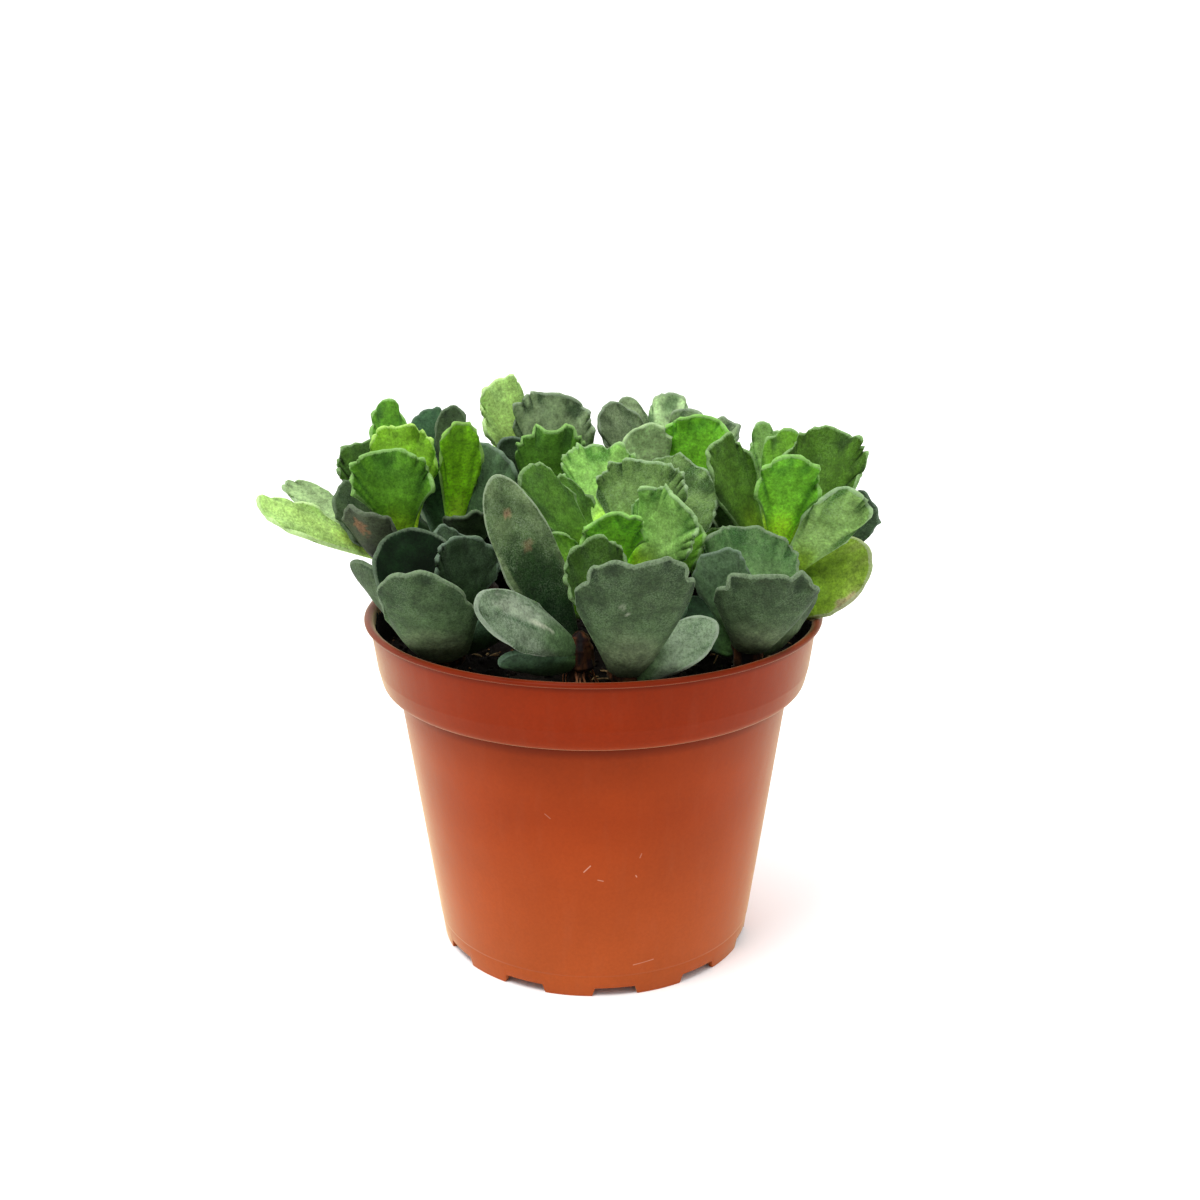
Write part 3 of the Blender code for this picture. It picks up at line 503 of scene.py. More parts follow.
# Red, green and blue are in hundredths here
SKINS = {
    "mint": Skin((12, 21, 6), (27, 39, 17), (19, 29, 12), (30, 42, 22), 0.4, 0.5),
    "lime": Skin((42, 60, 5), (34, 54, 13), (32, 52, 15), (48, 66, 30), 0.25, 0.25),
    "lemon": Skin((30, 50, 2), (19, 41, 2), (16, 37, 2), (36, 56, 14), 0.4, 0.15),
    "fresh": Skin((18, 37, 1.2), (7.8, 22, 1.2), (3.4, 12, 0.8), (22, 39, 12), 0.5, 0.2),
    "green": Skin((27, 50, 2), (15, 36, 2.5), (6.5, 18, 1.5), (22, 36, 14), 0.6, 0.2),
    "spring": Skin((26, 47, 2), (18, 34, 7.5), (5, 15, 1.8), (25, 38, 18), 0.6, 0.4),
    "moss": Skin((12, 25, 1.2), (6.5, 16, 1.5), (4.5, 12, 1.5), (18, 29, 12), 0.6, 0.2),
    "pale": Skin((20, 36, 2.5), (21, 36, 9.5), (4, 11, 1.5), (25, 36, 20), 0.5, 0.5),
    "sage": Skin((13, 17.5, 8.5), (4.4, 8.6, 2.8), (1.2, 3.8, 0.8), (16, 22, 13), 0.4, 0.4),
    "grey": Skin((7.5, 12, 4.8), (5.2, 8.6, 3.4), (3.4, 6.4, 2.6), (11, 15.5, 9), 0.6, 0.35),
    "ash": Skin((12, 21, 6), (26, 35, 17.5), (7, 13, 5), (20, 26, 17), 0.95, 0.45),
    "dusk": Skin((2.8, 6.8, 1.6), (2.4, 6.2, 2.4), (2.4, 6, 2.8), (7.5, 12.5, 8), 0.6, 0.25),
    "slate": Skin((2.8, 6.2, 1.8), (3.2, 6.4, 2.6), (4, 7.2, 3.4), (12, 17, 12), 0.9, 0.35),
    # deep: near black, as painted shade for the inside of a cupped leaf
    "deep": Skin((0.1, 0.4, 0.1), (0.1, 0.6, 0.1), (0.6, 2.2, 0.6), (9, 13, 8), 0.3, 0.03),
    "umber": Skin((3, 4.5, 1.5), (3, 4.2, 1.6), (3.4, 4.8, 2.2), (11, 14, 9), 0.6, 0.2),
    "keen": Skin((22, 40, 2), (11, 28, 0.6), (6, 16, 0.6), (20, 32, 10), 0.5, 0.2),
    "two_tone": Skin((0.1, 1.2, 0.1), (0.8, 3, 0.4), (14, 20.5, 8.5), (22, 28, 18), 0.4, 0.5),
    "frost": Skin((6, 11.5, 4.2), (12.5, 17.5, 10.5), (7.5, 12.5, 6.2), (22, 27, 20), 0.6, 0.7),
    "olive": Skin((10, 23, 1.2), (15, 27, 1.5), (18, 26, 4), (28, 32, 18), 0.3, 0.15),
}

# One skin for each leaf, in the order of the heads' leaves. Each plus after a name makes it lighter by
# SIGN_GAIN, and each minus darker by as much
SIGN_GAIN = 1.35
LEAF_SKINS = {
    "left": "fresh+ lemon moss- fresh+ lime mint grey umber",
    "left_back": "keen+++ dusk+ grey dusk++ dusk++ slate+++ grey dusk dusk",
    "front_left": "sage deep slate slate grey dusk",
    "front": "two_tone frost dusk",
    "front_low": "sage- frost+ dusk dusk moss--",
    "front_right": "sage- sage+++ slate+++ grey dusk",
    "middle": "spring++ pale- pale- spring+ fresh++++ moss moss green green green green",
    "right": "fresh+++ green--- green--- pale+ spring green slate olive green",
    "back_left": "lime ash lime slate fresh+ green dusk",
    "back_right": "ash-- ash ash+++ ash fresh++++ mint++ ash green green",
    "rear_left": "dusk dusk sage sage grey moss sage green spring",
    "rear": "dusk moss green sage green spring fresh spring lemon",
    "rear_right": "dusk grey sage sage ash moss pale sage green",
}


def shaded(name):
    """The skin of a name in LEAF_SKINS, made lighter or darker by its signs."""
    skin = SKINS[name.rstrip("+-")]
    gain = SIGN_GAIN ** (name.count("+") - name.count("-"))
    colours = [np.array(part) * gain / 100 for part in (skin.stalk, skin.blade, skin.tip)]
    return Skin(*colours, np.array(skin.rim) / 100, skin.hollow_shade, skin.frost)


@dataclass
class Scar:
    """A healed mark: its place on the leaf, its face (0 upper, 1 lower) and its half size in mm."""

    s: float
    t: float
    side: int
    wide: float
    long: float
    colour: tuple
    strength: float = 0.8


CORK, CHALK, PINK = (0.22, 0.13, 0.07), (0.34, 0.37, 0.27), (0.42, 0.24, 0.18)
SCARS = {
    ("front", 0): [Scar(-0.15, 0.80, 0, 0.45, 0.9, CORK), Scar(0.15, 0.60, 0, 1.1, 1.5, CORK, 0.35)],
    ("front", 1): [Scar(-0.1, 0.62, 0, 0.7, 5.0, (0.012, 0.045, 0.012), 0.75),
                   Scar(0.15, 0.42, 0, 0.5, 3.6, CHALK),
                   Scar(0.35, 0.66, 0, 2.2, 6.0, (0.24, 0.28, 0.20), 0.5)],
    ("front_low", 0): [Scar(0.2, 0.66, 1, 0.45, 1.0, CHALK, 0.6), Scar(0.12, 0.6, 1, 0.35, 0.5, CHALK, 0.6)],
    ("front_right", 1): [Scar(-0.90, 0.66, 0, 1.3, 1.3, PINK)],
    ("left", 7): [Scar(0.1, 0.80, 1, 1.4, 2.4, (0.16, 0.08, 0.035))],
    ("right", 7): [Scar(0.98, 0.66, 0, 1.3, 5.0, (0.26, 0.20, 0.12), 0.8)],
    ("middle", 1): [Scar(0.3, 0.45, 0, 0.7, 0.9, CORK, 0.5)],
    ("rear", 2): [Scar(0.2, 0.70, 1, 1.0, 1.5, CORK)],
    ("rear_right", 1): [Scar(-0.3, 0.60, 1, 1.2, 0.8, CORK, 0.6)],
}


def smooth(x, low, high):
    """0 below low and 1 above high, with a soft step between."""
    u = np.clip((x - low) / (high - low), 0, 1)
    return u * u * (3 - 2 * u)


def mixed(a, b, share):
    """Colours between a and b, by a share for each point."""
    return a + (b - a) * share[..., None]


def on_ring(r, turn):
    """x and y at a radius, and at an angle counted from the front towards the right."""
    return r * np.sin(turn), -r * np.cos(turn)


def angles_round(count):
    """Angles evenly spaced round a circle, in radians."""
    return np.linspace(0, 2 * math.pi, count, endpoint=False)


class Noise:
    """Smooth random values in space, between -1 and 1."""

    def __init__(self, seed, size=32):
        self.size = size
        self.values = np.random.default_rng(seed).uniform(-1, 1, (size, size, size))

    def __call__(self, points, cell):
        p = np.asarray(points) / cell
        low = np.floor(p).astype(int)
        f = p - low
        f = f * f * (3 - 2 * f)
        out = 0
        for corner in range(8):
            step = np.array([corner & 1, corner >> 1 & 1, corner >> 2 & 1])
            weight = np.prod(np.where(step == 1, f, 1 - f), axis=-1)
            i, j, k = np.moveaxis((low + step) % self.size, -1, 0)
            out = out + weight * self.values[i, j, k]
        return out

    def rough(self, points, cell, octaves=3):
        return sum(self(points + 17.3 * k, cell / 2**k) / 2**k for k in range(octaves))


NOISE = Noise(SEED)


# Meshes

def put(made):
    """Adds an object to the scene, and gives it back."""
    bpy.context.scene.collection.objects.link(made)
    return made


class Patchwork:
    """Points, four-cornered faces and named values for each point, gathered into one mesh."""

    def __init__(self):
        self.points, self.faces, self.values, self.count = [], [], {}, 0

    def add(self, points, faces, **values):
        points = np.asarray(points, float).reshape(-1, 3)
        self.points.append(points)
        self.faces.append(np.asarray(faces) + self.count)
        self.count += len(points)
        for name, value in values.items():
            self.values.setdefault(name, []).append(np.asarray(value, float).reshape(len(points), -1))

    def plain(self, points, faces, tint):
        """Adds points and faces of one tint."""
        self.add(points, faces, tint=np.tile(tint, (points.size // 3, 1)))

    def object(self, name, paint, node, slot):
        """The piece that stands for a CAD node, riding with it."""
        points = (np.concatenate(self.points) + np.array([*POT_AXIS, 0.0])) * MM
        faces = np.concatenate(self.faces)
        mesh = bpy.data.meshes.new(name)
        mesh.vertices.add(len(points))
        mesh.vertices.foreach_set("co", points.astype(np.float32).ravel())
        mesh.loops.add(faces.size)
        mesh.loops.foreach_set("vertex_index", faces.astype(np.int32).ravel())
        mesh.polygons.add(len(faces))
        mesh.polygons.foreach_set("loop_start", np.arange(0, faces.size, 4, dtype=np.int32))
        mesh.update(calc_edges=True)
        for key, parts in self.values.items():
            value = np.concatenate(parts)
            if value.shape[1] == 3:
                value = np.concatenate([value, np.ones((len(value), 1))], 1)
            kind, field = ("FLOAT_COLOR", "color") if value.shape[1] == 4 else ("FLOAT", "value")
            mesh.attributes.new(key, kind, "POINT").data.foreach_set(field, value.astype(np.float32).ravel())
        mesh.shade_smooth()
        mesh.materials.append(paint)
        piece = put(bpy.data.objects.new(name, mesh))
        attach(piece, "root")
        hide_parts(node)
        return piece


def grid_faces(rows, cols, closed=False):
    """Faces of a grid of points; closed joins each row's last column to its first."""
    i, j = np.meshgrid(np.arange(rows - 1), np.arange(cols if closed else cols - 1), indexing="ij")
    n = (j + 1) % cols
    return np.stack([i * cols + j, i * cols + n, (i + 1) * cols + n, (i + 1) * cols + j], -1).reshape(-1, 4)


def tube(path, radii, sides):
    """Points and faces of a tube along a path, with its ends drawn in to points."""
    path, radii = np.asarray(path, float), np.asarray(radii, float).copy()
    ahead = unit_rows(np.gradient(path, axis=0))
    side = unit_rows(np.cross(ahead, [0.31, 0.2, 0.93]))
    up = np.cross(ahead, side)
    turn = angles_round(sides)
    ring = side[:, None] * np.cos(turn)[:, None] + up[:, None] * np.sin(turn)[:, None]
    if radii.ndim == 1:
        radii = radii[:, None] * np.ones(sides)
    points = path[:, None] + ring * radii[..., None]
    return points, grid_faces(len(path), sides, True)


# Leaves

# Height of the margin's crinkles in mm, depth of its scallops in mm, and how much of its small frills it has
CRINKLE = {
    "young": (0.80, 1.0, 1.0),
    "grown": (0.80, 0.95, 0.9),
    "old": (0.60, 0.85, 0.5),
    "spoon": (0.22, 0.4, 0.1),
    "bowl": (0.20, 0.3, 0.1),
    "broad": (0.50, 1.15, 0.12),
    "scoop": (0.22, 0.7, 0.05),
}
CRINKLE_PERIOD = 5.6
SKEW = 0.12  # how far one corner of a leaf may stand higher than the other, as a share of its half width
# Size of a cell of a leaf's fine grid, across and along
COLUMN_MM = 0.38
ROW_MM = 0.62
# The round rim between a leaf's faces is a few rows of points, at these angles from the upper face
RIM_ANGLES = np.radians([38, 90, 142])


def fine_blade(leaf, s, t, quirk):
    """The CAD leaf's middle surface and thickness, with finer waves and a scalloped outline.

    Also gives how far each point is from the margin, and how deep it lies in a hollow of the waves.
    quirk holds six random angles that make the leaf unlike the others.
    """
    form, length, width = leaf.form, leaf.length * leaf.scale, leaf.width
    crinkle_mm, lobe_mm, frill_share = CRINKLE[leaf.leaf.kind]
    ends = 1 - s**2
    drift = 0.05 * np.sin(2.3 * math.pi * s + quirk[0]) + 0.03 * np.sin(5.1 * math.pi * s + quirk[1])
    drift = s + ends * drift
    count = max(2, round(width * 1.55 / CRINKLE_PERIOD))
    turn = math.pi * count * (drift + 1) + quirk[2]
    fan = np.radians(FAN_DEG) * s
    shoulder = form.shoulder * length
    deep = 0.7 + 0.3 * np.sin(2.9 * math.pi * s + quirk[4])
    lobe = lobe_mm * (np.abs(np.cos(turn / 2)) - 0.6) * min(1.0, width / 9) * deep
    frill = turn + 0.7 * np.sin(0.71 * turn + quirk[1])
    lobe = lobe + frill_share * (np.abs(np.cos(frill)) - 0.62) * (0.85 + 0.4 * np.sin(0.43 * turn + quirk[5]))
    out_x, out_y = rounded_power(np.sin(fan), form.square), rounded_power(np.cos(fan), form.square)
    spread = t**form.flare
    x = form.stalk_mm / 2 * s * (1 - spread) + out_x * (width / 2 * spread + lobe * t**7)
    y = (shoulder + (length - shoulder) * out_y) * t + out_y * lobe * t**7
    y = y + (leaf.leaf.skew + SKEW * math.sin(quirk[5])) * x * t**2
    uneven = 0.85 + 0.30 * np.sin(0.62 * turn + quirk[3]) + 0.25 * np.sin(1.43 * turn + quirk[0])
    wave = np.cos(form.waves * math.pi * (drift + 1) + leaf.phase) * form.ripple_mm
    wave = wave * min(1.0, width / 16) ** 2 * (0.55 + 0.4 * uneven)
    fine = (0.6 * np.cos(turn) * t**12 + 0.75 * frill_share * np.cos(2 * frill) * t**16) * uneven
    ripple = wave * t**5 + fine * crinkle_mm * min(1.0, width / 12)
    lift = form.cup * 4 * x**2 / width + ripple
    curl = form.bend * (y / length) ** 2 * length
    mid = turned(np.stack([x, y, lift + curl], -1), np.array([1.0, 0.0, 0.0]), -leaf.tilt)
    half_width = np.abs(x).max(axis=1, keepdims=True)
    edge = np.minimum((1 - t) * length * 0.9, (1 - np.abs(s)) * half_width * 1.3)
    hollow = 0.4 * wave / max(form.ripple_mm, 0.6) + 0.6 * np.cos(turn) * uneven
    hollow = hollow + 0.9 * frill_share * np.cos(2 * frill) * uneven * smooth(edge, 2.8, 0.8)
    hollow = -hollow * smooth(edge, 4.6, 0.8)
    return mid, thickness_over(form, width, s, t), edge, hollow


def leaf_patch(patch, leaf, skin, order, number):
    """Adds one leaf: two faces, and a round rim between them."""
    rng = np.random.default_rng(SEED * 1000 + order)
    quirk = rng.uniform(0, 2 * math.pi, 6)
    coarse = 1.0
    cols = int(np.clip(leaf.width / COLUMN_MM, 28, 72) / coarse)
    rows = int(np.clip(leaf.length / ROW_MM, 26, 56) / coarse)
    # Columns and rows crowd towards the margin
    u = np.linspace(-1, 1, cols)
    u = 0.6 * u + 0.4 * np.sin(u * 1.45) / math.sin(1.45)
    v = 1 - (1 - np.linspace(0, 1, rows)) ** 1.3
    s, t = np.meshgrid(u, v)
    mid, thickness, edge, hollow = fine_blade(leaf, s, t, quirk)
    normal = np.cross(np.gradient(mid, axis=1), np.gradient(mid, axis=0))
    normal /= np.linalg.norm(normal, axis=2, keepdims=True)
    seed = mid + order * 7.7
    bumps = [0.16 * NOISE.rough(seed + side * 31, 3.1) * smooth(edge, 0.0, 2.0) for side in (0, 1)]
    upper = mid + normal * (thickness / 2 + bumps[0])[..., None]
    lower = mid - normal * (thickness / 2 + bumps[1])[..., None]

    first, last = np.zeros(cols, int), np.full(cols, rows - 1)
    ring_i = np.r_[np.arange(rows - 1, 0, -1), first, np.arange(1, rows), last[2:]]
    first, last = np.zeros(rows - 1, int), np.full(rows - 1, cols - 1)
    ring_j = np.r_[first, np.arange(cols), last, np.arange(cols - 2, 0, -1)]
    inner_i = np.clip(ring_i, 1, rows - 2)
    inner_j = np.clip(ring_j, 1, cols - 2)
    out = unit_rows(mid[ring_i, ring_j] - mid[inner_i, inner_j])
    up = normal[ring_i, ring_j]
    out = unit_rows(out - up * (out * up).sum(1, keepdims=True))
    half = thickness[ring_i, ring_j][:, None] / 2
    rim = np.stack([mid[ring_i, ring_j] + (up * math.cos(a) + out * math.sin(a)) * half for a in RIM_ANGLES])

    points = np.concatenate([upper.reshape(-1, 3), lower.reshape(-1, 3), rim.reshape(-1, 3)])
    face = grid_faces(rows, cols)
    loops = [ring_i * cols + ring_j]
    loops += [2 * rows * cols + k * len(ring_i) + np.arange(len(ring_i)) for k in range(len(rim))]
    loops += [rows * cols + ring_i * cols + ring_j]
    strips = [np.stack([a, b, np.roll(b, -1), np.roll(a, -1)], -1) for a, b in zip(loops, loops[1:])]
    faces = np.concatenate([face, face[:, ::-1] + rows * cols, *strips])

    colours, pales = [], []
    for side in (0, 1):
        cloud = NOISE.rough(seed + 50 + side * 9, 6.0)
        base = mixed(skin.stalk, skin.blade, smooth(t + 0.08 * cloud, 0.18, 0.55))
        # Painted shade: in the hollows of the waves the colour turns towards the one below the margin, and
        # darker
        dip = (hollow if side == 0 else -hollow) + 0.25 * cloud
        deep = smooth(dip, -0.25, 0.55) * smooth(t, 0.45, 0.8)
        base = mixed(base, skin.tip, 0.35 * smooth(t + 0.08 * cloud, 0.62, 0.92) + 0.65 * deep)
        base = base * ((1 - 0.5 * skin.hollow_shade * deep) * (1 + 0.10 * cloud))[..., None]
        if side:
            base = base * 0.92 + np.array([0.012, 0.014, 0.010])
        for scar in SCARS.get((leaf.rosette.name, number), ()):
            if scar.side == side:
                centre = np.interp(scar.t, v, mid[:, cols // 2, 1])
                across = (mid[..., 0] - scar.s * leaf.width / 2) / scar.wide
                away = np.hypot(across, (mid[..., 1] - centre) / scar.long)
                mark = smooth(-away + 0.5 * NOISE.rough(seed, 0.9), -1.15, -0.75) * scar.strength
                base = mixed(base, np.array(scar.colour), mark)
        colours.append(base)
        pales.append(smooth(-edge, -0.38, 0.0) * (0.25 + 0.75 * smooth(t, 0.2, 0.8)) * (0.65 + 0.25 * cloud))
    rim_t = t[ring_i, ring_j]
    rim_colour = colours[0][ring_i, ring_j]
    pale_rim = 0.15 + 0.6 * smooth(rim_t, 0.2, 0.8)
    colour = np.concatenate([c.reshape(-1, 3) for c in colours] + [rim_colour] * len(rim))
    pale = np.concatenate([p.ravel() for p in pales] + [pale_rim] * len(rim))
    rim_tint = np.tile(skin.rim, (len(points), 1))
    all_t = np.concatenate([t.ravel()] * 2 + [rim_t] * len(rim))
    frost = skin.frost * (0.3 + 0.7 * smooth(all_t, 0.3, 0.65))
    patch.add(leaf.world(points), faces, skin=colour, rim=rim_tint, pale=pale, frost=frost)


CROWN_BROWN = np.array([0.030, 0.011, 0.004])
CROWN_GREEN = np.array([0.03, 0.055, 0.012])


def crown_patch(patch, head):
    """The short crown under the leaves: brown and fibrous, and green on top where the leaves are bright."""
    rows, sides = 30, 28
    f = np.linspace(0, 1, rows)
    z = head.low - 0.6 + (head.top - head.low + 0.4) * f
    share = np.interp(f, [0, 0.08, 0.55, 0.85, 1], [0.72, 0.95, 0.85, 0.5, 0.05])
    turn = angles_round(sides)
    x = head.axis[0] + CROWN_RADIUS * share[:, None] * np.cos(turn)
    y = head.axis[1] + CROWN_RADIUS * share[:, None] * np.sin(turn)
    points = np.stack([x, y, np.broadcast_to(z[:, None], x.shape)], -1)
    bump = 0.55 * NOISE.rough(points * (1, 1, 0.3), 1.2)
    points[..., 0] += np.cos(turn) * bump
    points[..., 1] += np.sin(turn) * bump
    colour = mixed(CROWN_BROWN, CROWN_GREEN, head.bright * smooth(f[:, None] + 0.12 * bump, 0.7, 1.0))
    colour = colour * np.clip(1 + 2.4 * NOISE.rough(points * (1, 1, 0.12), 0.9)[..., None], 0.2, 3.5)
    none = np.zeros(rows * sides)
    patch.add(points, grid_faces(rows, sides, True), skin=np.clip(colour, 0.004, 1),
              rim=np.tile(CROWN_GREEN, (rows * sides, 1)), pale=none, frost=none)


# Stems, roots and soil

# Hanging roots of a stem, and of the front one, which shows; every other one of these starts up on the crown
ROOTS = 7
FRONT_ROOTS = 26
CROWN_RISE = 4.5
# The bark's own brown, darkened towards black as painted shade among the leaves
BARK_AND_SHADE_TINT = np.array([0.030, 0.013, 0.006])
ROOT_TINT = np.array([0.16, 0.06, 0.022])


def bark_patch(head, order):
    """A knobbly stem with hair-fine brown roots hanging from it to the soil."""
    rng = np.random.default_rng(SEED * 77 + order)
    patch = Patchwork()
    line = stem_line(head, 8)
    keys = np.r_[0, np.cumsum(np.linalg.norm(np.diff(line, axis=0), axis=1))]
    along = np.linspace(0, keys[-1], 46)
    path = np.stack([np.interp(along, keys, line[:, k]) for k in range(3)], -1)
    sides = 22
    turn = angles_round(sides)
    ring = np.stack([np.cos(turn), np.sin(turn), 0 * turn], -1)
    radius = STEM_RADIUS * (1 - 0.12 * along / along[-1])
    skin = path[:, None] + ring * radius[:, None, None]
    bump = 0.32 * NOISE.rough(skin * (1, 1, 0.45), 1.3) + 0.12 * np.sin(along * 2.1)[:, None]
    skin += ring * bump[..., None]
    # Painted shade: the bark is darker where its bumps dip in and lighter where they stand out
    shade = 1 + 0.9 * bump[..., None]
    patch.add(skin, grid_faces(len(path), sides, True), tint=np.clip(BARK_AND_SHADE_TINT * shade, 0.005, 1))
    front = head.name == "front"
    for k in range(FRONT_ROOTS if front else ROOTS):
        start = path[rng.integers(16, len(path) - 2)] + (0, 0, CROWN_RISE if front and k % 2 else 0)
        way = rng.uniform(0, 2 * math.pi)
        out = np.array([math.cos(way), math.sin(way), 0])
        reach, drop = rng.uniform(1.2, 3.2), start[2] - SOIL_LEVEL - SOIL_MOUND + 1.5
        f = np.linspace(0, 1, 13)
        root = start + out * (radius[-1] * 0.7 + reach * np.sin(f * 1.9))[:, None]
        root[:, 2] = start[2] - drop * f**1.3
        sway = NOISE(root * 0.6 + k * 5, 1.7)
        root[:, :2] += np.outer(sway, [out[1], -out[0]]) * 0.8 * np.sin(math.pi * f)[:, None]
        tint = ROOT_TINT * rng.uniform(0.5, 1.3)
        patch.plain(*tube(root, np.interp(f, [0, 0.8, 1], [0.26, 0.16, 0.03]), 6), tint)
    return patch


GRAINS = 1500
STRAWS = 130
FRONT_STRAWS = 26  # these lie by the wall at the front left
WOODY_SHARE = 0.06  # of the grains
# The mix's own dark brown, darkened near to black as painted shade under the leaves; the film of dirt on the
# wall takes it too
SOIL_AND_SHADE_TINT = np.array([0.005, 0.0035, 0.0025])
GRAIN_TINT = np.array([0.009, 0.006, 0.004])
WOODY_TINT = np.array([0.16, 0.085, 0.04])
STRAW_TINT = np.array([0.42, 0.28, 0.13])
# A thin film of dirt climbs the pot's inside: its mean height, the lowest and highest that it may reach, and
# its rows, up the wall and back down, each as a share of that climb and a gap to the wall
FILM_TOP = 77.6
FILM_LOWEST = 74.5
FILM_HIGHEST = POT_HEIGHT - 1.0
FILM_ROWS = ((0.0, 0.12), (0.35, 0.12), (0.7, 0.12), (1.0, 0.14),
             (0.97, 0.4), (0.66, 0.45), (0.35, 0.45), (0.1, 0.45))


def soil_brim():
    """Radius of the soil at its level."""
    return inner_radius(SOIL_LEVEL) - FIT_GAP


def soil_height(x, y):
    """Top of the soil at a point: a low mound with lumps, which are flatter by the wall."""
    share = np.hypot(x, y) / soil_brim()
    where = np.stack([x, y, 0 * x], -1)
    edge = smooth(1 - share, 0.0, 0.05)
    lumps = 1.1 * NOISE.rough(where, 7.0, 2) + 0.9 * NOISE.rough(where + 40, 2.2, 3)
    return SOIL_LEVEL + SOIL_MOUND * (1 - share**2) + lumps * (0.35 + 0.65 * edge)


def add_soil(patch):
    """The body of the mix: rings over its floor, up the wall, over the film of dirt and in to the middle."""
    turn = angles_round(240)
    around = np.stack([*on_ring(1.0, turn), 0 * turn], -1)
    floor, *walls = inner_wall()[:3]
    rings = [(0.1, floor[1] + FIT_GAP), (floor[0] - FIT_GAP, floor[1] + FIT_GAP)]
    rings += [(r - FIT_GAP, z) for r, z in walls]
    low = [around * r + (0, 0, z) for r, z in rings]

    crest = FILM_TOP + 1.1 * NOISE.rough(around * 50, 4.0, 2) + 0.9 * NOISE.rough(around * 50, 1.3, 2)
    climb = np.clip(crest, FILM_LOWEST, FILM_HIGHEST) - SOIL_LEVEL
    film = []
    for share, gap in FILM_ROWS:
        z = SOIL_LEVEL + climb * share
        film.append(around * (inner_radius(z) - gap)[:, None] + z[:, None] * (0, 0, 1))

    x, y = on_ring(soil_brim() * np.sqrt(np.linspace(0.0004, 1, 100))[::-1, None], turn)
    points = np.concatenate([np.stack(low + film), np.stack([x, y, soil_height(x, y)], -1)])
    shade = 1 + 0.55 * NOISE.rough(points, 1.7)
    tint = SOIL_AND_SHADE_TINT * np.clip(shade, 0.3, 2)[..., None]
    patch.add(points, grid_faces(len(points), len(turn), True), tint=tint)


def add_grains(patch, rng):
    """Angular grains: most lie on the soil, a sixth are stuck to the wall, and a few are woody."""
    ball = bmesh.new()
    bmesh.ops.create_icosphere(ball, subdivisions=1, radius=1.0)
    corners = np.array([v.co for v in ball.verts])
    sides = np.array([[v.index for v in f.verts] for f in ball.faces])
    ball.free()
    sides = np.concatenate([sides, sides[:, 2:]], 1)
    brim = soil_brim()
    for k in range(GRAINS):
        r = brim * (math.sqrt(rng.uniform(0.0, 1.0)) if k % 3 else rng.uniform(0.88, 0.99))
        turn = rng.uniform(0, 2 * math.pi)
        x, y = on_ring(r, turn)
        z = soil_height(x, y) + 0.2
        size = rng.uniform(0.35, 1.2) * rng.uniform(0.6, 1.1)
        if k % 6 == 0:
            z = SOIL_LEVEL + rng.uniform(0, 1) ** 2 * 5.5
            x, y = on_ring(inner_radius(z) - FIT_GAP + 0.1, turn)
            size = rng.uniform(0.2, 0.55)
        spin = np.linalg.qr(rng.normal(size=(3, 3)))[0]
        grain = corners * rng.uniform(0.65, 1.25, (len(corners), 1)) * rng.uniform(0.5, 1.0, 3)
        tint = GRAIN_TINT * rng.uniform(0.4, 2.2)
        if rng.uniform() < WOODY_SHARE:
            tint = WOODY_TINT * rng.uniform(0.6, 1.2)
        patch.plain(grain @ spin * size + (x, y, z), sides, tint)


def add_straws(patch, rng):
    """Bits of straw and root, bent a little, lying on the soil."""
    brim = soil_brim()
    for k in range(STRAWS):
        r, turn = brim * math.sqrt(rng.uniform(0.1, 0.97)), rng.uniform(0, 2 * math.pi)
        if k < FRONT_STRAWS:
            r, turn = brim * rng.uniform(0.86, 0.97), math.radians(rng.uniform(-75, -35))
        x, y = on_ring(r, turn)
        way, lean = rng.uniform(0, 2 * math.pi), rng.uniform(-0.15, 0.5)
        f = np.linspace(-0.5, 0.5, 6)
        long = rng.uniform(1.8, 6.5) if k >= FRONT_STRAWS else rng.uniform(1.5, 4.0)
        path = np.stack([x + long * f * math.cos(way), y + long * f * math.sin(way), 0 * f], -1)
        path[:, 2] = soil_height(path[:, 0], path[:, 1]).mean() + 0.5 + long * (f * lean - f**2 * 0.3)
        straw = tube(path, rng.uniform(0.14, 0.32) * np.array([0.3, 1, 1, 1, 1, 0.3]), 6)
        patch.plain(*straw, STRAW_TINT * rng.uniform(0.35, 1.0))


def soil_patch():
    """Crumbly potting mix with grains, woody bits and straw, some of it stuck to the pot's inside."""
    rng = np.random.default_rng(SEED * 5)
    patch = Patchwork()
    add_soil(patch)
    add_grains(patch, rng)
    add_straws(patch, rng)
    return patch


# Pot

def body_radius(z):
    """Radius of the pot's outside at a height below the band."""
    return FOOT_RADIUS + (BODY_TOP_RADIUS - FOOT_RADIUS) / BAND_FOOT * z


def inner_wall():
    """Radius and height pairs of the pot's inside, from the floor to the lip."""
    floor = BASE_UNDERSIDE + BASE_THICKNESS
    return [
        (body_radius(floor) - WALL, floor),
        (BODY_TOP_RADIUS - WALL, BAND_FOOT + 0.4),
        (BAND_FOOT_RADIUS - WALL - 0.3, BAND_FOOT + 3.0),
        (BAND_TOP_RADIUS - WALL + 0.2, POT_HEIGHT - 0.7),
        (LIP_RADIUS - 0.9, POT_HEIGHT),
    ]


def inner_radius(z):
    """Radius of the pot's inside at a height."""
    return np.interp(z, *np.array(inner_wall())[:, ::-1].T)


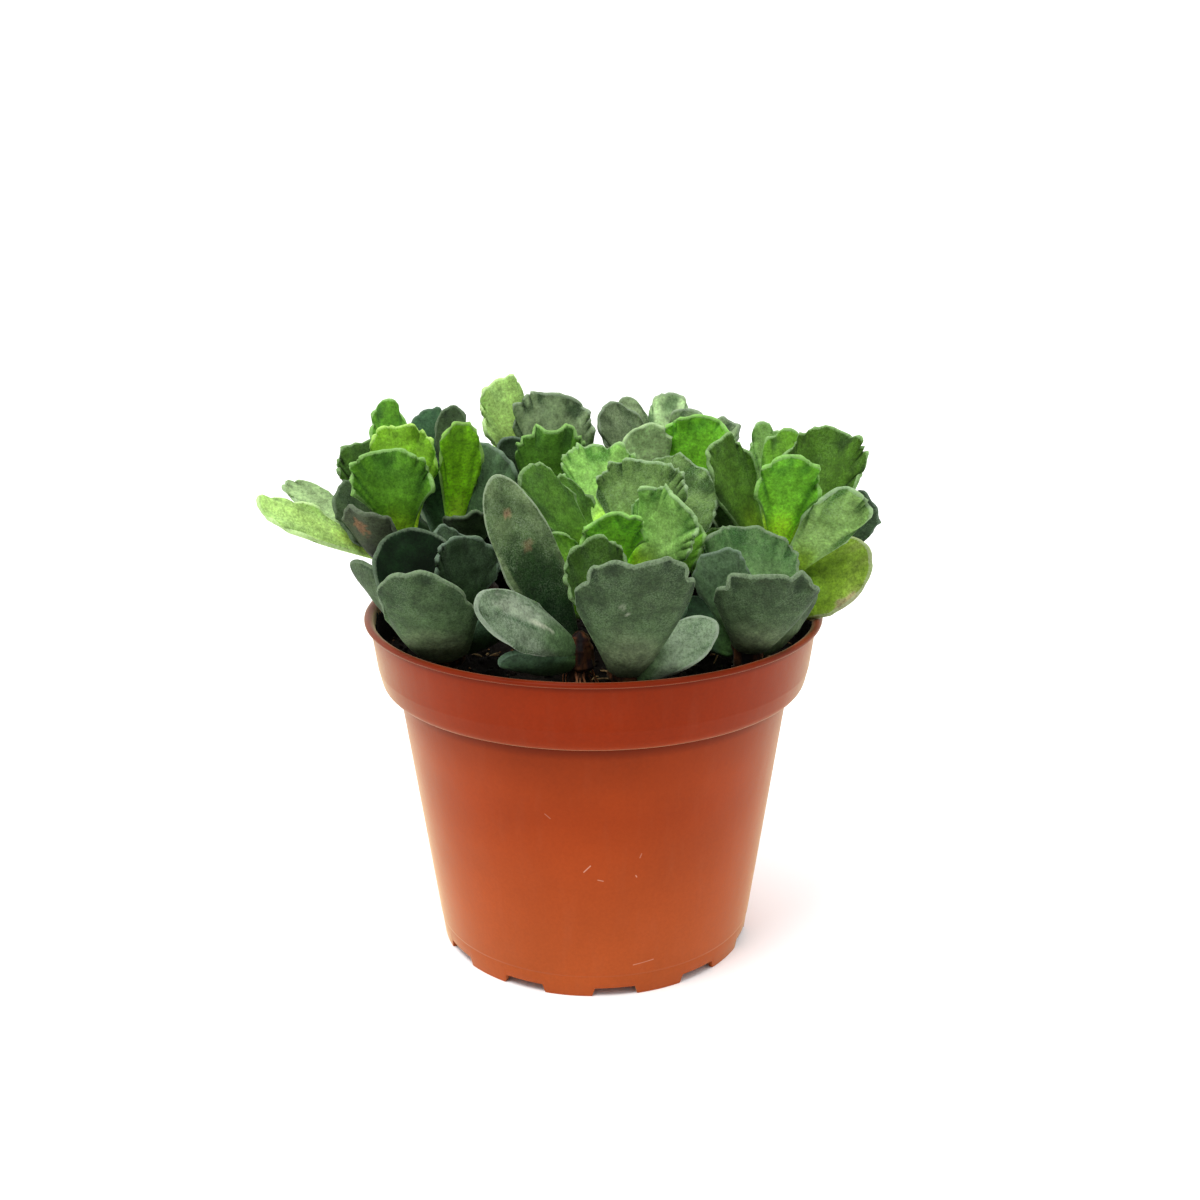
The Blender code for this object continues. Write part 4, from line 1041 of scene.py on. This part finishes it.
def rounded(corners, steps=5):
    """A closed line through radius, height and rounding triples, its corners turned into curves."""
    out = []
    count = len(corners)
    for i, (r, z, bend) in enumerate(corners):
        here = np.array([r, z])
        before = np.array(corners[i - 1][:2]) - here
        after = np.array(corners[(i + 1) % count][:2]) - here
        if bend == 0:
            out.append(here)
            continue
        a = here + before / np.linalg.norm(before) * min(bend, np.linalg.norm(before) * 0.45)
        b = here + after / np.linalg.norm(after) * min(bend, np.linalg.norm(after) * 0.45)
        for u in np.linspace(0, 1, steps):
            out.append(a * (1 - u) ** 2 + here * 2 * u * (1 - u) + b * u**2)
    return np.array(out)


def pot_patch():
    """The pot's shell turned from a rounded profile, with its feet and a parting line."""
    period = 360 / FOOT_COUNT
    ramp = [0, NOTCH_SLOPE_DEG * 0.15, NOTCH_SLOPE_DEG * 0.85, NOTCH_SLOPE_DEG]
    raised = list(np.linspace(NOTCH_SLOPE_DEG, period / 2 - NOTCH_SLOPE_DEG, 12))[1:-1]
    low = list(np.linspace(period / 2, period, 14))[1:-1]
    stops = ramp + raised + [period / 2 - a for a in ramp[::-1]] + low
    shares = [0, 0.04, 0.96, 1] + [1] * len(raised) + [1, 0.96, 0.04, 0] + [0] * len(low)
    angles = np.radians([NOTCH_START_DEG + k * period + stop for k in range(FOOT_COUNT) for stop in stops])
    foot = np.tile(shares, FOOT_COUNT) * NOTCH_HEIGHT
    outer = [
        (LIP_RADIUS, POT_HEIGHT - 0.4, 0.45),
        (LIP_RADIUS, POT_HEIGHT - LIP_BEAD + 0.35, 0.35),
        (BAND_TOP_RADIUS, POT_HEIGHT - LIP_BEAD - 0.1, 0.3),
        (BAND_FOOT_RADIUS + 0.1, BAND_FOOT + BAND_CORNER + 0.4, 0.3),
        (BAND_FOOT_RADIUS, BAND_FOOT + BAND_CORNER, 0.3),
        (BAND_FOOT_RADIUS - 0.9, BAND_FOOT + 0.7, 1.2),
        (BAND_EDGE_RADIUS, BAND_FOOT, 0.4),
        (BODY_TOP_RADIUS, BAND_FOOT, 0.35),
        (body_radius(40), 40.0, 0),
        (body_radius(20), 20.0, 0),
        (body_radius(5.6), 5.6, 0.15),
        (body_radius(5.2) - 0.14, 5.15, 0.15),
        (body_radius(4.4) - 0.10, 4.4, 0),
    ]
    inner = [(r, z, 0.6) for r, z in inner_wall()]
    inner[-1] = (LIP_RADIUS - 1.0, POT_HEIGHT, 0.45)
    rings = []
    for height in foot:
        base = [
            (body_radius(height) - 0.08, height, 0.12),
            (body_radius(height) - WALL - 0.2, height, 0.12),
            (FOOT_RADIUS - WALL - 0.2, BASE_UNDERSIDE, 0.2),
            (4.0, BASE_UNDERSIDE, 0),
            (4.0, BASE_UNDERSIDE + BASE_THICKNESS, 0),
        ]
        rings.append(rounded(outer + base + inner))
    rings = np.array(rings)
    r, z = rings[..., 0], rings[..., 1]
    points = np.stack([*on_ring(r, angles[:, None]), z], -1)
    inside = (r < inner_radius(z) + 0.3) & (z > BASE_UNDERSIDE + 0.2)
    patch = Patchwork()
    faces = grid_faces(len(angles) + 1, rings.shape[1], True) % (len(angles) * rings.shape[1])
    patch.add(points, faces[:, ::-1], inside=inside)
    return patch


SHARP_DEG = 38  # the pot's faces shade smoothly into each other where they meet at less than this


def cut_drains(pot):
    """Cuts the round drain holes through the pot's floor."""
    form = bmesh.new()
    for k in range(DRAIN_COUNT):
        a = 2 * math.pi * k / DRAIN_COUNT
        x, y = POT_AXIS[0] + DRAIN_RING * math.cos(a), POT_AXIS[1] + DRAIN_RING * math.sin(a)
        place = Matrix.Translation(Vector((x, y, BASE_UNDERSIDE)) * MM)
        bmesh.ops.create_cone(form, cap_ends=True, segments=40, radius1=DRAIN_RADIUS * MM,
                              radius2=DRAIN_RADIUS * MM, depth=4 * BASE_THICKNESS * MM, matrix=place)
    mesh = bpy.data.meshes.new("drain cutters")
    form.to_mesh(mesh)
    form.free()
    cutter = put(bpy.data.objects.new("drain cutters", mesh))
    step = pot.modifiers.new("drains", "BOOLEAN")
    step.operation, step.solver, step.object = "DIFFERENCE", "EXACT", cutter
    graph = bpy.context.evaluated_depsgraph_get()
    pot.data = bpy.data.meshes.new_from_object(pot.evaluated_get(graph))
    pot.modifiers.remove(step)
    bpy.data.objects.remove(cutter)


# Materials

class Nodes:
    """A material's node tree, written briefly."""

    def __init__(self, name):
        self.material = bpy.data.materials.new(name)
        self.material.use_nodes = True
        self.tree = self.material.node_tree
        self.shader = self.tree.nodes["Principled BSDF"]
        self.where = self.add("ShaderNodeTexCoord").outputs["Object"]

    def add(self, kind, inputs=None, **fields):
        node = self.tree.nodes.new(kind)
        for key, value in fields.items():
            setattr(node, key, value)
        for key, value in (inputs or {}).items():
            self.link(value, node.inputs[key])
        return node

    def link(self, value, socket):
        if isinstance(value, bpy.types.NodeSocket):
            self.tree.links.new(value, socket)
        else:
            socket.default_value = value

    def attribute(self, name, output="Fac"):
        return self.add("ShaderNodeAttribute", attribute_name=name).outputs[output]

    def noise(self, per_mm, detail=3.0, roughness=0.55, stretch=None):
        """Noise with about this many lumps to the millimetre."""
        where = self.where
        if stretch:
            where = self.add("ShaderNodeMapping", {"Vector": where, "Scale": stretch}).outputs[0]
        inputs = {"Vector": where, "Scale": per_mm / MM, "Detail": detail, "Roughness": roughness}
        return self.add("ShaderNodeTexNoise", inputs).outputs["Fac"]

    def math(self, operation, a, b=0.0):
        return self.add("ShaderNodeMath", {0: a, 1: b}, operation=operation).outputs[0]

    def ramp(self, value, low, high, to_low=0.0, to_high=1.0):
        inputs = {"Value": value, "From Min": low, "From Max": high, "To Min": to_low, "To Max": to_high}
        return self.add("ShaderNodeMapRange", inputs, clamp=True).outputs["Result"]

    def vary(self, noise, low, high):
        """A noise spread out between two values."""
        return self.ramp(noise, 0.3, 0.7, low, high)

    def along(self, length, low, high, to_low=0.0, to_high=1.0):
        """A ramp over a height or a distance, with its ends in millimetres."""
        return self.ramp(length, low * MM, high * MM, to_low, to_high)

    def vector(self, operation, a, b, output=0):
        return self.add("ShaderNodeVectorMath", {0: a, 1: b}, operation=operation).outputs[output]

    def mix(self, share, a, b, blend="MIX"):
        node = self.add("ShaderNodeMix", data_type="RGBA", blend_type=blend)
        self.link(share, node.inputs["Factor"])
        self.link(a, [i for i in node.inputs if i.name == "A" and i.type == "RGBA"][0])
        self.link(b, [i for i in node.inputs if i.name == "B" and i.type == "RGBA"][0])
        return [o for o in node.outputs if o.type == "RGBA"][0]

    def shade(self, colour, gain):
        """The colour made darker or lighter."""
        return self.mix(1.0, colour, gain, "MULTIPLY")

    def bump(self, height, distance, strength=1.0, normal=None):
        node = self.add("ShaderNodeBump", {"Height": height, "Distance": distance * MM, "Strength": strength})
        if normal:
            self.link(normal, node.inputs["Normal"])
        return node.outputs[0]

    def set(self, **values):
        for key, value in values.items():
            self.link(value, self.shader.inputs[key.replace("_", " ")])


def leaf_material(name, sheen):
    """Velvety skin: a colour for each point with shade painted into its hollows, pale down on margins and
    skin, fine mottling and pile.
    """
    m = Nodes(name)
    skin, rim = m.attribute("skin", "Color"), m.attribute("rim", "Color")
    pale, frost = m.attribute("pale"), m.attribute("frost")
    mottle = m.noise(0.55, 4.0, 0.65)
    speckle = m.noise(1.7, 3.0, 0.7)
    colour = m.shade(skin, m.vary(mottle, 0.72, 1.28))
    colour = m.shade(colour, m.vary(speckle, 0.62, 1.38))
    patches = m.noise(0.2, 3.0, 0.6)
    colour = m.shade(colour, m.ramp(patches, 0.38, 0.62, 0.80, 1.22))
    bloom = m.ramp(patches, 0.40, 0.62, 0.25, 1.0)
    down = m.math("MULTIPLY", m.ramp(m.noise(3.4, 3.0, 0.75), 0.44, 0.68), m.math("MULTIPLY", frost, bloom))
    colour = m.mix(down, colour, rim)
    ragged = m.math("ADD", pale, m.vary(speckle, -0.25, 0.25))
    colour = m.mix(m.ramp(ragged, 0.25, 0.85, 0.0, 0.85), colour, rim)
    m.set(Base_Color=colour, Roughness=m.vary(mottle, 0.60, 0.78), Specular_IOR_Level=0.10)
    m.set(Sheen_Weight=sheen, Sheen_Roughness=0.35, Sheen_Tint=(0.80, 1.0, 0.66, 1))
    m.set(Subsurface_Weight=0.10, Subsurface_Scale=2 * MM)
    m.shader.inputs["Subsurface Radius"].default_value = (0.6, 1.0, 0.3)
    pile = m.bump(m.noise(3.2, 3.0, 0.7), 0.10, 0.55)
    m.set(Normal=m.bump(mottle, 0.35, 0.35, pile))
    return m.material


def bark_material():
    """Fibrous skin of stems and roots, streaked lengthways."""
    m = Nodes("bark")
    streaks = m.noise(1.6, 4.0, 0.65, (1, 1, 0.3))
    colour = m.shade(m.attribute("tint", "Color"), m.vary(streaks, 0.35, 1.7))
    m.set(Base_Color=colour, Roughness=m.vary(streaks, 0.65, 0.9), Specular_IOR_Level=0.3)
    m.set(Normal=m.bump(streaks, 0.3, 0.7))
    return m.material


def soil_material():
    """Dark, dull crumbs."""
    m = Nodes("potting_mix_fine")
    crumbs = m.noise(1.3, 5.0, 0.7)
    colour = m.shade(m.attribute("tint", "Color"), m.vary(crumbs, 0.45, 1.6))
    m.set(Base_Color=colour, Roughness=m.vary(crumbs, 0.8, 0.98), Specular_IOR_Level=0.08)
    m.set(Normal=m.bump(crumbs, 0.5, 0.8))
    return m.material


# Colours of the pot's plastic and of what lies on it; the foot's colour holds painted light and the band's
# painted shade
BODY_COLOUR = (0.285, 0.036, 0.004, 1)
# The plastic made lighter towards the foot, as painted light thrown up from the floor
LIT_FOOT_COLOUR = (0.39, 0.075, 0.015, 1)
# The plastic made darker and redder on the band, as painted shade
SHADED_BAND_COLOUR = (0.215, 0.018, 0.0003, 1)
DUST_COLOUR = (0.55, 0.33, 0.22, 1)
DIRT_COLOUR = (0.012, 0.007, 0.004, 1)
SCRATCH_COLOUR = (0.75, 0.45, 0.33, 1)
# Half widths of a scratch: where it starts to fade, and where it has faded
SCRATCH_CORE = 0.05
SCRATCH_EDGE = 0.17
# From and to, each as an angle round the pot in degrees and a height in mm, and how pale
SCRATCHES = (
    ((-3.2, 33.0), (-1.2, 34.6), 0.7),
    ((1.0, 31.0), (2.6, 30.7), 0.5),
    ((12.5, 31.6), (12.8, 31.2), 0.6),
    ((13.5, 36.0), (14.0, 37.0), 0.3),
    ((13.0, 8.0), (20.0, 8.7), 0.5),
    ((-14.0, 47.0), (-12.5, 46.0), 0.25),
    ((155.0, 22.0), (159.0, 27.0), 0.5),
    ((80.0, 38.0), (84.0, 36.5), 0.4),
    ((-100.0, 18.0), (-97.0, 19.5), 0.4),
)


def scratched(m, colour, start, end, pale):
    """The colour with one scratch on it, from one angle and height on the pot's wall to another."""
    ends = []
    for turn, z in (start, end):
        x, y = on_ring(body_radius(z), math.radians(turn))
        ends.append(Vector((POT_AXIS[0] + x, POT_AXIS[1] + y, z)) * MM)
    span = ends[1] - ends[0]
    away = m.vector("SUBTRACT", m.where, ends[0])
    share = m.vector("DOT_PRODUCT", away, span / span.length_squared, "Value")
    share = m.add("ShaderNodeClamp", {"Value": share}).outputs[0]
    nearest = m.add("ShaderNodeVectorMath", {0: tuple(span), "Scale": share}, operation="SCALE").outputs[0]
    gap = m.vector("DISTANCE", away, nearest, "Value")
    line = m.math("MULTIPLY", m.along(gap, SCRATCH_CORE, SCRATCH_EDGE, 0.8, 0.0), pale)
    return m.mix(line, colour, SCRATCH_COLOUR)


def pot_material():
    """Satin plastic: redder on the band, scratched, and dirty inside, with painted shade darkening the band,
    the wall under it and the lip, and painted light at the foot.
    """
    m = Nodes("terracotta_plastic_fine")
    height = m.add("ShaderNodeSeparateXYZ", {"Vector": m.where}).outputs["Z"]
    cloud = m.noise(0.045, 3.0, 0.5)
    grain = m.noise(1.4, 3.0, 0.6)
    neck = POT_HEIGHT - LIP_BEAD
    # Painted shade on the band and painted light towards the foot
    band = m.along(height, BAND_FOOT - 3.6, BAND_FOOT + 2.4)
    colour = m.mix(band, BODY_COLOUR, SHADED_BAND_COLOUR)
    colour = m.mix(m.along(height, 0, 45), LIT_FOOT_COLOUR, colour)
    colour = m.shade(colour, m.vary(cloud, 0.93, 1.07))
    colour = m.shade(colour, m.vary(grain, 0.94, 1.06))
    dust = m.ramp(m.noise(0.35, 4.0, 0.6, (1, 1, 0.12)), 0.52, 0.75, 0.0, 0.015)
    colour = m.mix(dust, colour, DUST_COLOUR)

    # Painted shade: stretches of the wall darkened below the band's foot, under the lip and over the lip's
    # bead. Where each starts, is darkest and ends, how strong it is, and its red
    shade_stretches = (
        (BAND_FOOT - 12, BAND_FOOT, BAND_FOOT, 0.35, 0.12),
        (BAND_FOOT - 3.2, BAND_FOOT - 0.6, BAND_FOOT, 0.65, 0.06),
        (neck - 1.3, neck - 0.2, neck, 0.6, 0.06),
        (neck + 0.2, neck + 0.6, POT_HEIGHT + 1, 0.6, 0.10),
    )
    for start, full, end, strength, red in shade_stretches:
        rising = m.along(height, start, full, 0.0, strength)
        dark = m.math("MULTIPLY", rising, m.along(height, end + 0.3, end))
        colour = m.mix(dark, colour, (red, 0.07 * red, 0.004 * red, 1))

    for start, end, pale in SCRATCHES:
        colour = scratched(m, colour, start, end, pale)

    # Dirt starts just below the lip on the inside, and is thicker towards the soil
    dirty = m.math("MULTIPLY", m.attribute("inside"), m.along(height, 77.4, 76.2))
    crust = m.math("ADD", m.along(height, 78, 72, 0.2, 0.62), m.vary(grain, -0.3, 0.3))
    soiled = m.math("MULTIPLY", dirty, m.ramp(crust, 0.3, 0.6, 0.7, 1.0))
    colour = m.mix(soiled, colour, DIRT_COLOUR)
    m.set(Base_Color=colour, Roughness=m.vary(grain, 0.38, 0.48), IOR=1.5, Specular_IOR_Level=0.06)
    m.set(Sheen_Weight=0.5, Sheen_Roughness=0.34, Sheen_Tint=(0.95, 0.90, 0.52, 1))
    fine = m.bump(m.noise(2.4, 2.0, 0.5), 0.02, 0.35)
    m.set(Normal=m.bump(cloud, 0.6, 0.35, fine))
    return m.material


def floor_material():
    """Plain near-white paper."""
    m = Nodes("studio_floor")
    fleck = m.vary(m.noise(0.02, 4.0, 0.5), 0.0, 1.0)
    m.set(Base_Color=m.mix(fleck, (0.94, 0.94, 0.94, 1), (0.96, 0.96, 0.96, 1)), Roughness=0.75)
    return m.material


# The object

heads = rosettes()
leaves = placed_leaves(heads)
relax(heads, leaves)

bright_skin = leaf_material("bright_leaf_fine", 0.05)
dusky_skin = leaf_material("dusky_leaf_fine", 0.04)
bark = bark_material()

for order, head in enumerate(heads):
    patch = Patchwork()
    crown_patch(patch, head)
    own = [leaf for leaf in leaves if leaf.rosette is head]
    for i, (leaf, name) in enumerate(zip(own, LEAF_SKINS[head.name].split(), strict=True)):
        leaf_patch(patch, leaf, shaded(name), order * 20 + i, i)
    skin, slot = (bright_skin, "bright_leaf") if head.bright else (dusky_skin, "dusky_leaf")
    patch.object("leaves_" + head.name, skin, "rosette_" + head.name, slot)
    bark_patch(head, order).object("bark_" + head.name, bark, "stem_" + head.name, "stem_bark")

soil_patch().object("soil_fine", soil_material(), "soil", "potting_mix")
pot = pot_patch().object("pot_fine", pot_material(), "pot", "terracotta_plastic")
cut_drains(pot)
pot.data.set_sharp_from_angle(angle=math.radians(SHARP_DEG))


# Stage, light and camera

# Metres here. The world's light comes from a white sweep behind and above, and a dimmer room in front
FLOOR_HALF = 3.0
ROOM = 0.25
SWEEP = 1.7
SWEEP_WAY = (0.0, 0.78, 0.62)
SWEEP_EDGES = (-0.7, 0.6)  # cosines from that direction at which the room and the full sweep are reached
LAMP_PLACE = (-0.35, -0.45, 1.2)
LAMP_AIM = (0, 0, 0.08)
LAMP_SIZE = 0.6
LAMP_WATTS = 11.0


def stage_floor():
    """A wide white floor, which isn't part of the object."""
    mesh = bpy.data.meshes.new("floor")
    corners = ((-1, -1), (1, -1), (1, 1), (-1, 1))
    mesh.from_pydata([(x * FLOOR_HALF, y * FLOOR_HALF, 0) for x, y in corners], [], [(0, 1, 2, 3)])
    mesh.materials.append(floor_material())
    put(bpy.data.objects.new("floor", mesh))


def lamp():
    """One soft round lamp above the viewer's left shoulder."""
    data = bpy.data.lights.new("key", "AREA")
    data.shape, data.size, data.energy = "DISK", LAMP_SIZE, LAMP_WATTS
    made = put(bpy.data.objects.new("key", data))
    made.location = LAMP_PLACE
    made.rotation_euler = (Vector(LAMP_AIM) - Vector(LAMP_PLACE)).to_track_quat("-Z", "Y").to_euler()


def studio():
    """White light from all round, strongest from behind and above."""
    world = bpy.data.worlds.new("studio")
    world.use_nodes = True
    tree = world.node_tree
    back = tree.nodes["Background"]
    back.inputs["Color"].default_value = (1.0, 1.0, 1.0, 1)
    way = tree.nodes.new("ShaderNodeVectorMath")
    way.operation = "DOT_PRODUCT"
    way.inputs[1].default_value = SWEEP_WAY
    tree.links.new(tree.nodes.new("ShaderNodeTexCoord").outputs["Generated"], way.inputs[0])
    light = tree.nodes.new("ShaderNodeMapRange")
    light.interpolation_type = "SMOOTHSTEP"
    tree.links.new(way.outputs["Value"], light.inputs["Value"])
    for name, value in zip(("From Min", "From Max", "To Min", "To Max"), (*SWEEP_EDGES, ROOM, SWEEP)):
        light.inputs[name].default_value = value
    tree.links.new(light.outputs["Result"], back.inputs["Strength"])
    bpy.context.scene.world = world
    bpy.context.scene.view_settings.view_transform = "Standard"


# Camera fitted to the pot's ellipses in the photograph: angles in radians, and its place from the pot's axis
CAMERA_PITCH = 0.2954
CAMERA_ROLL = -0.0045
CAMERA_BACK = 331.0
CAMERA_HEIGHT = 182.1
FOCAL_PX = 1498.5
PICTURE_PX = 1200
CENTRE_PX = 593.3


def camera():
    """The camera that took the photograph, as fitted."""
    data = bpy.data.cameras.new("camera")
    data.sensor_fit = "HORIZONTAL"
    data.sensor_width = 36.0
    data.lens = FOCAL_PX / PICTURE_PX * data.sensor_width
    data.shift_x = (PICTURE_PX / 2 - CENTRE_PX) / PICTURE_PX
    made = put(bpy.data.objects.new("camera", data))
    made.location = np.array([POT_AXIS[0], POT_AXIS[1] - CAMERA_BACK, CAMERA_HEIGHT]) * MM
    turn = Matrix.Rotation(math.pi / 2 - CAMERA_PITCH, 4, "X") @ Matrix.Rotation(CAMERA_ROLL, 4, "Z")
    made.rotation_euler = turn.to_euler()
    bpy.context.scene.camera = made


stage_floor()
lamp()
studio()
camera()
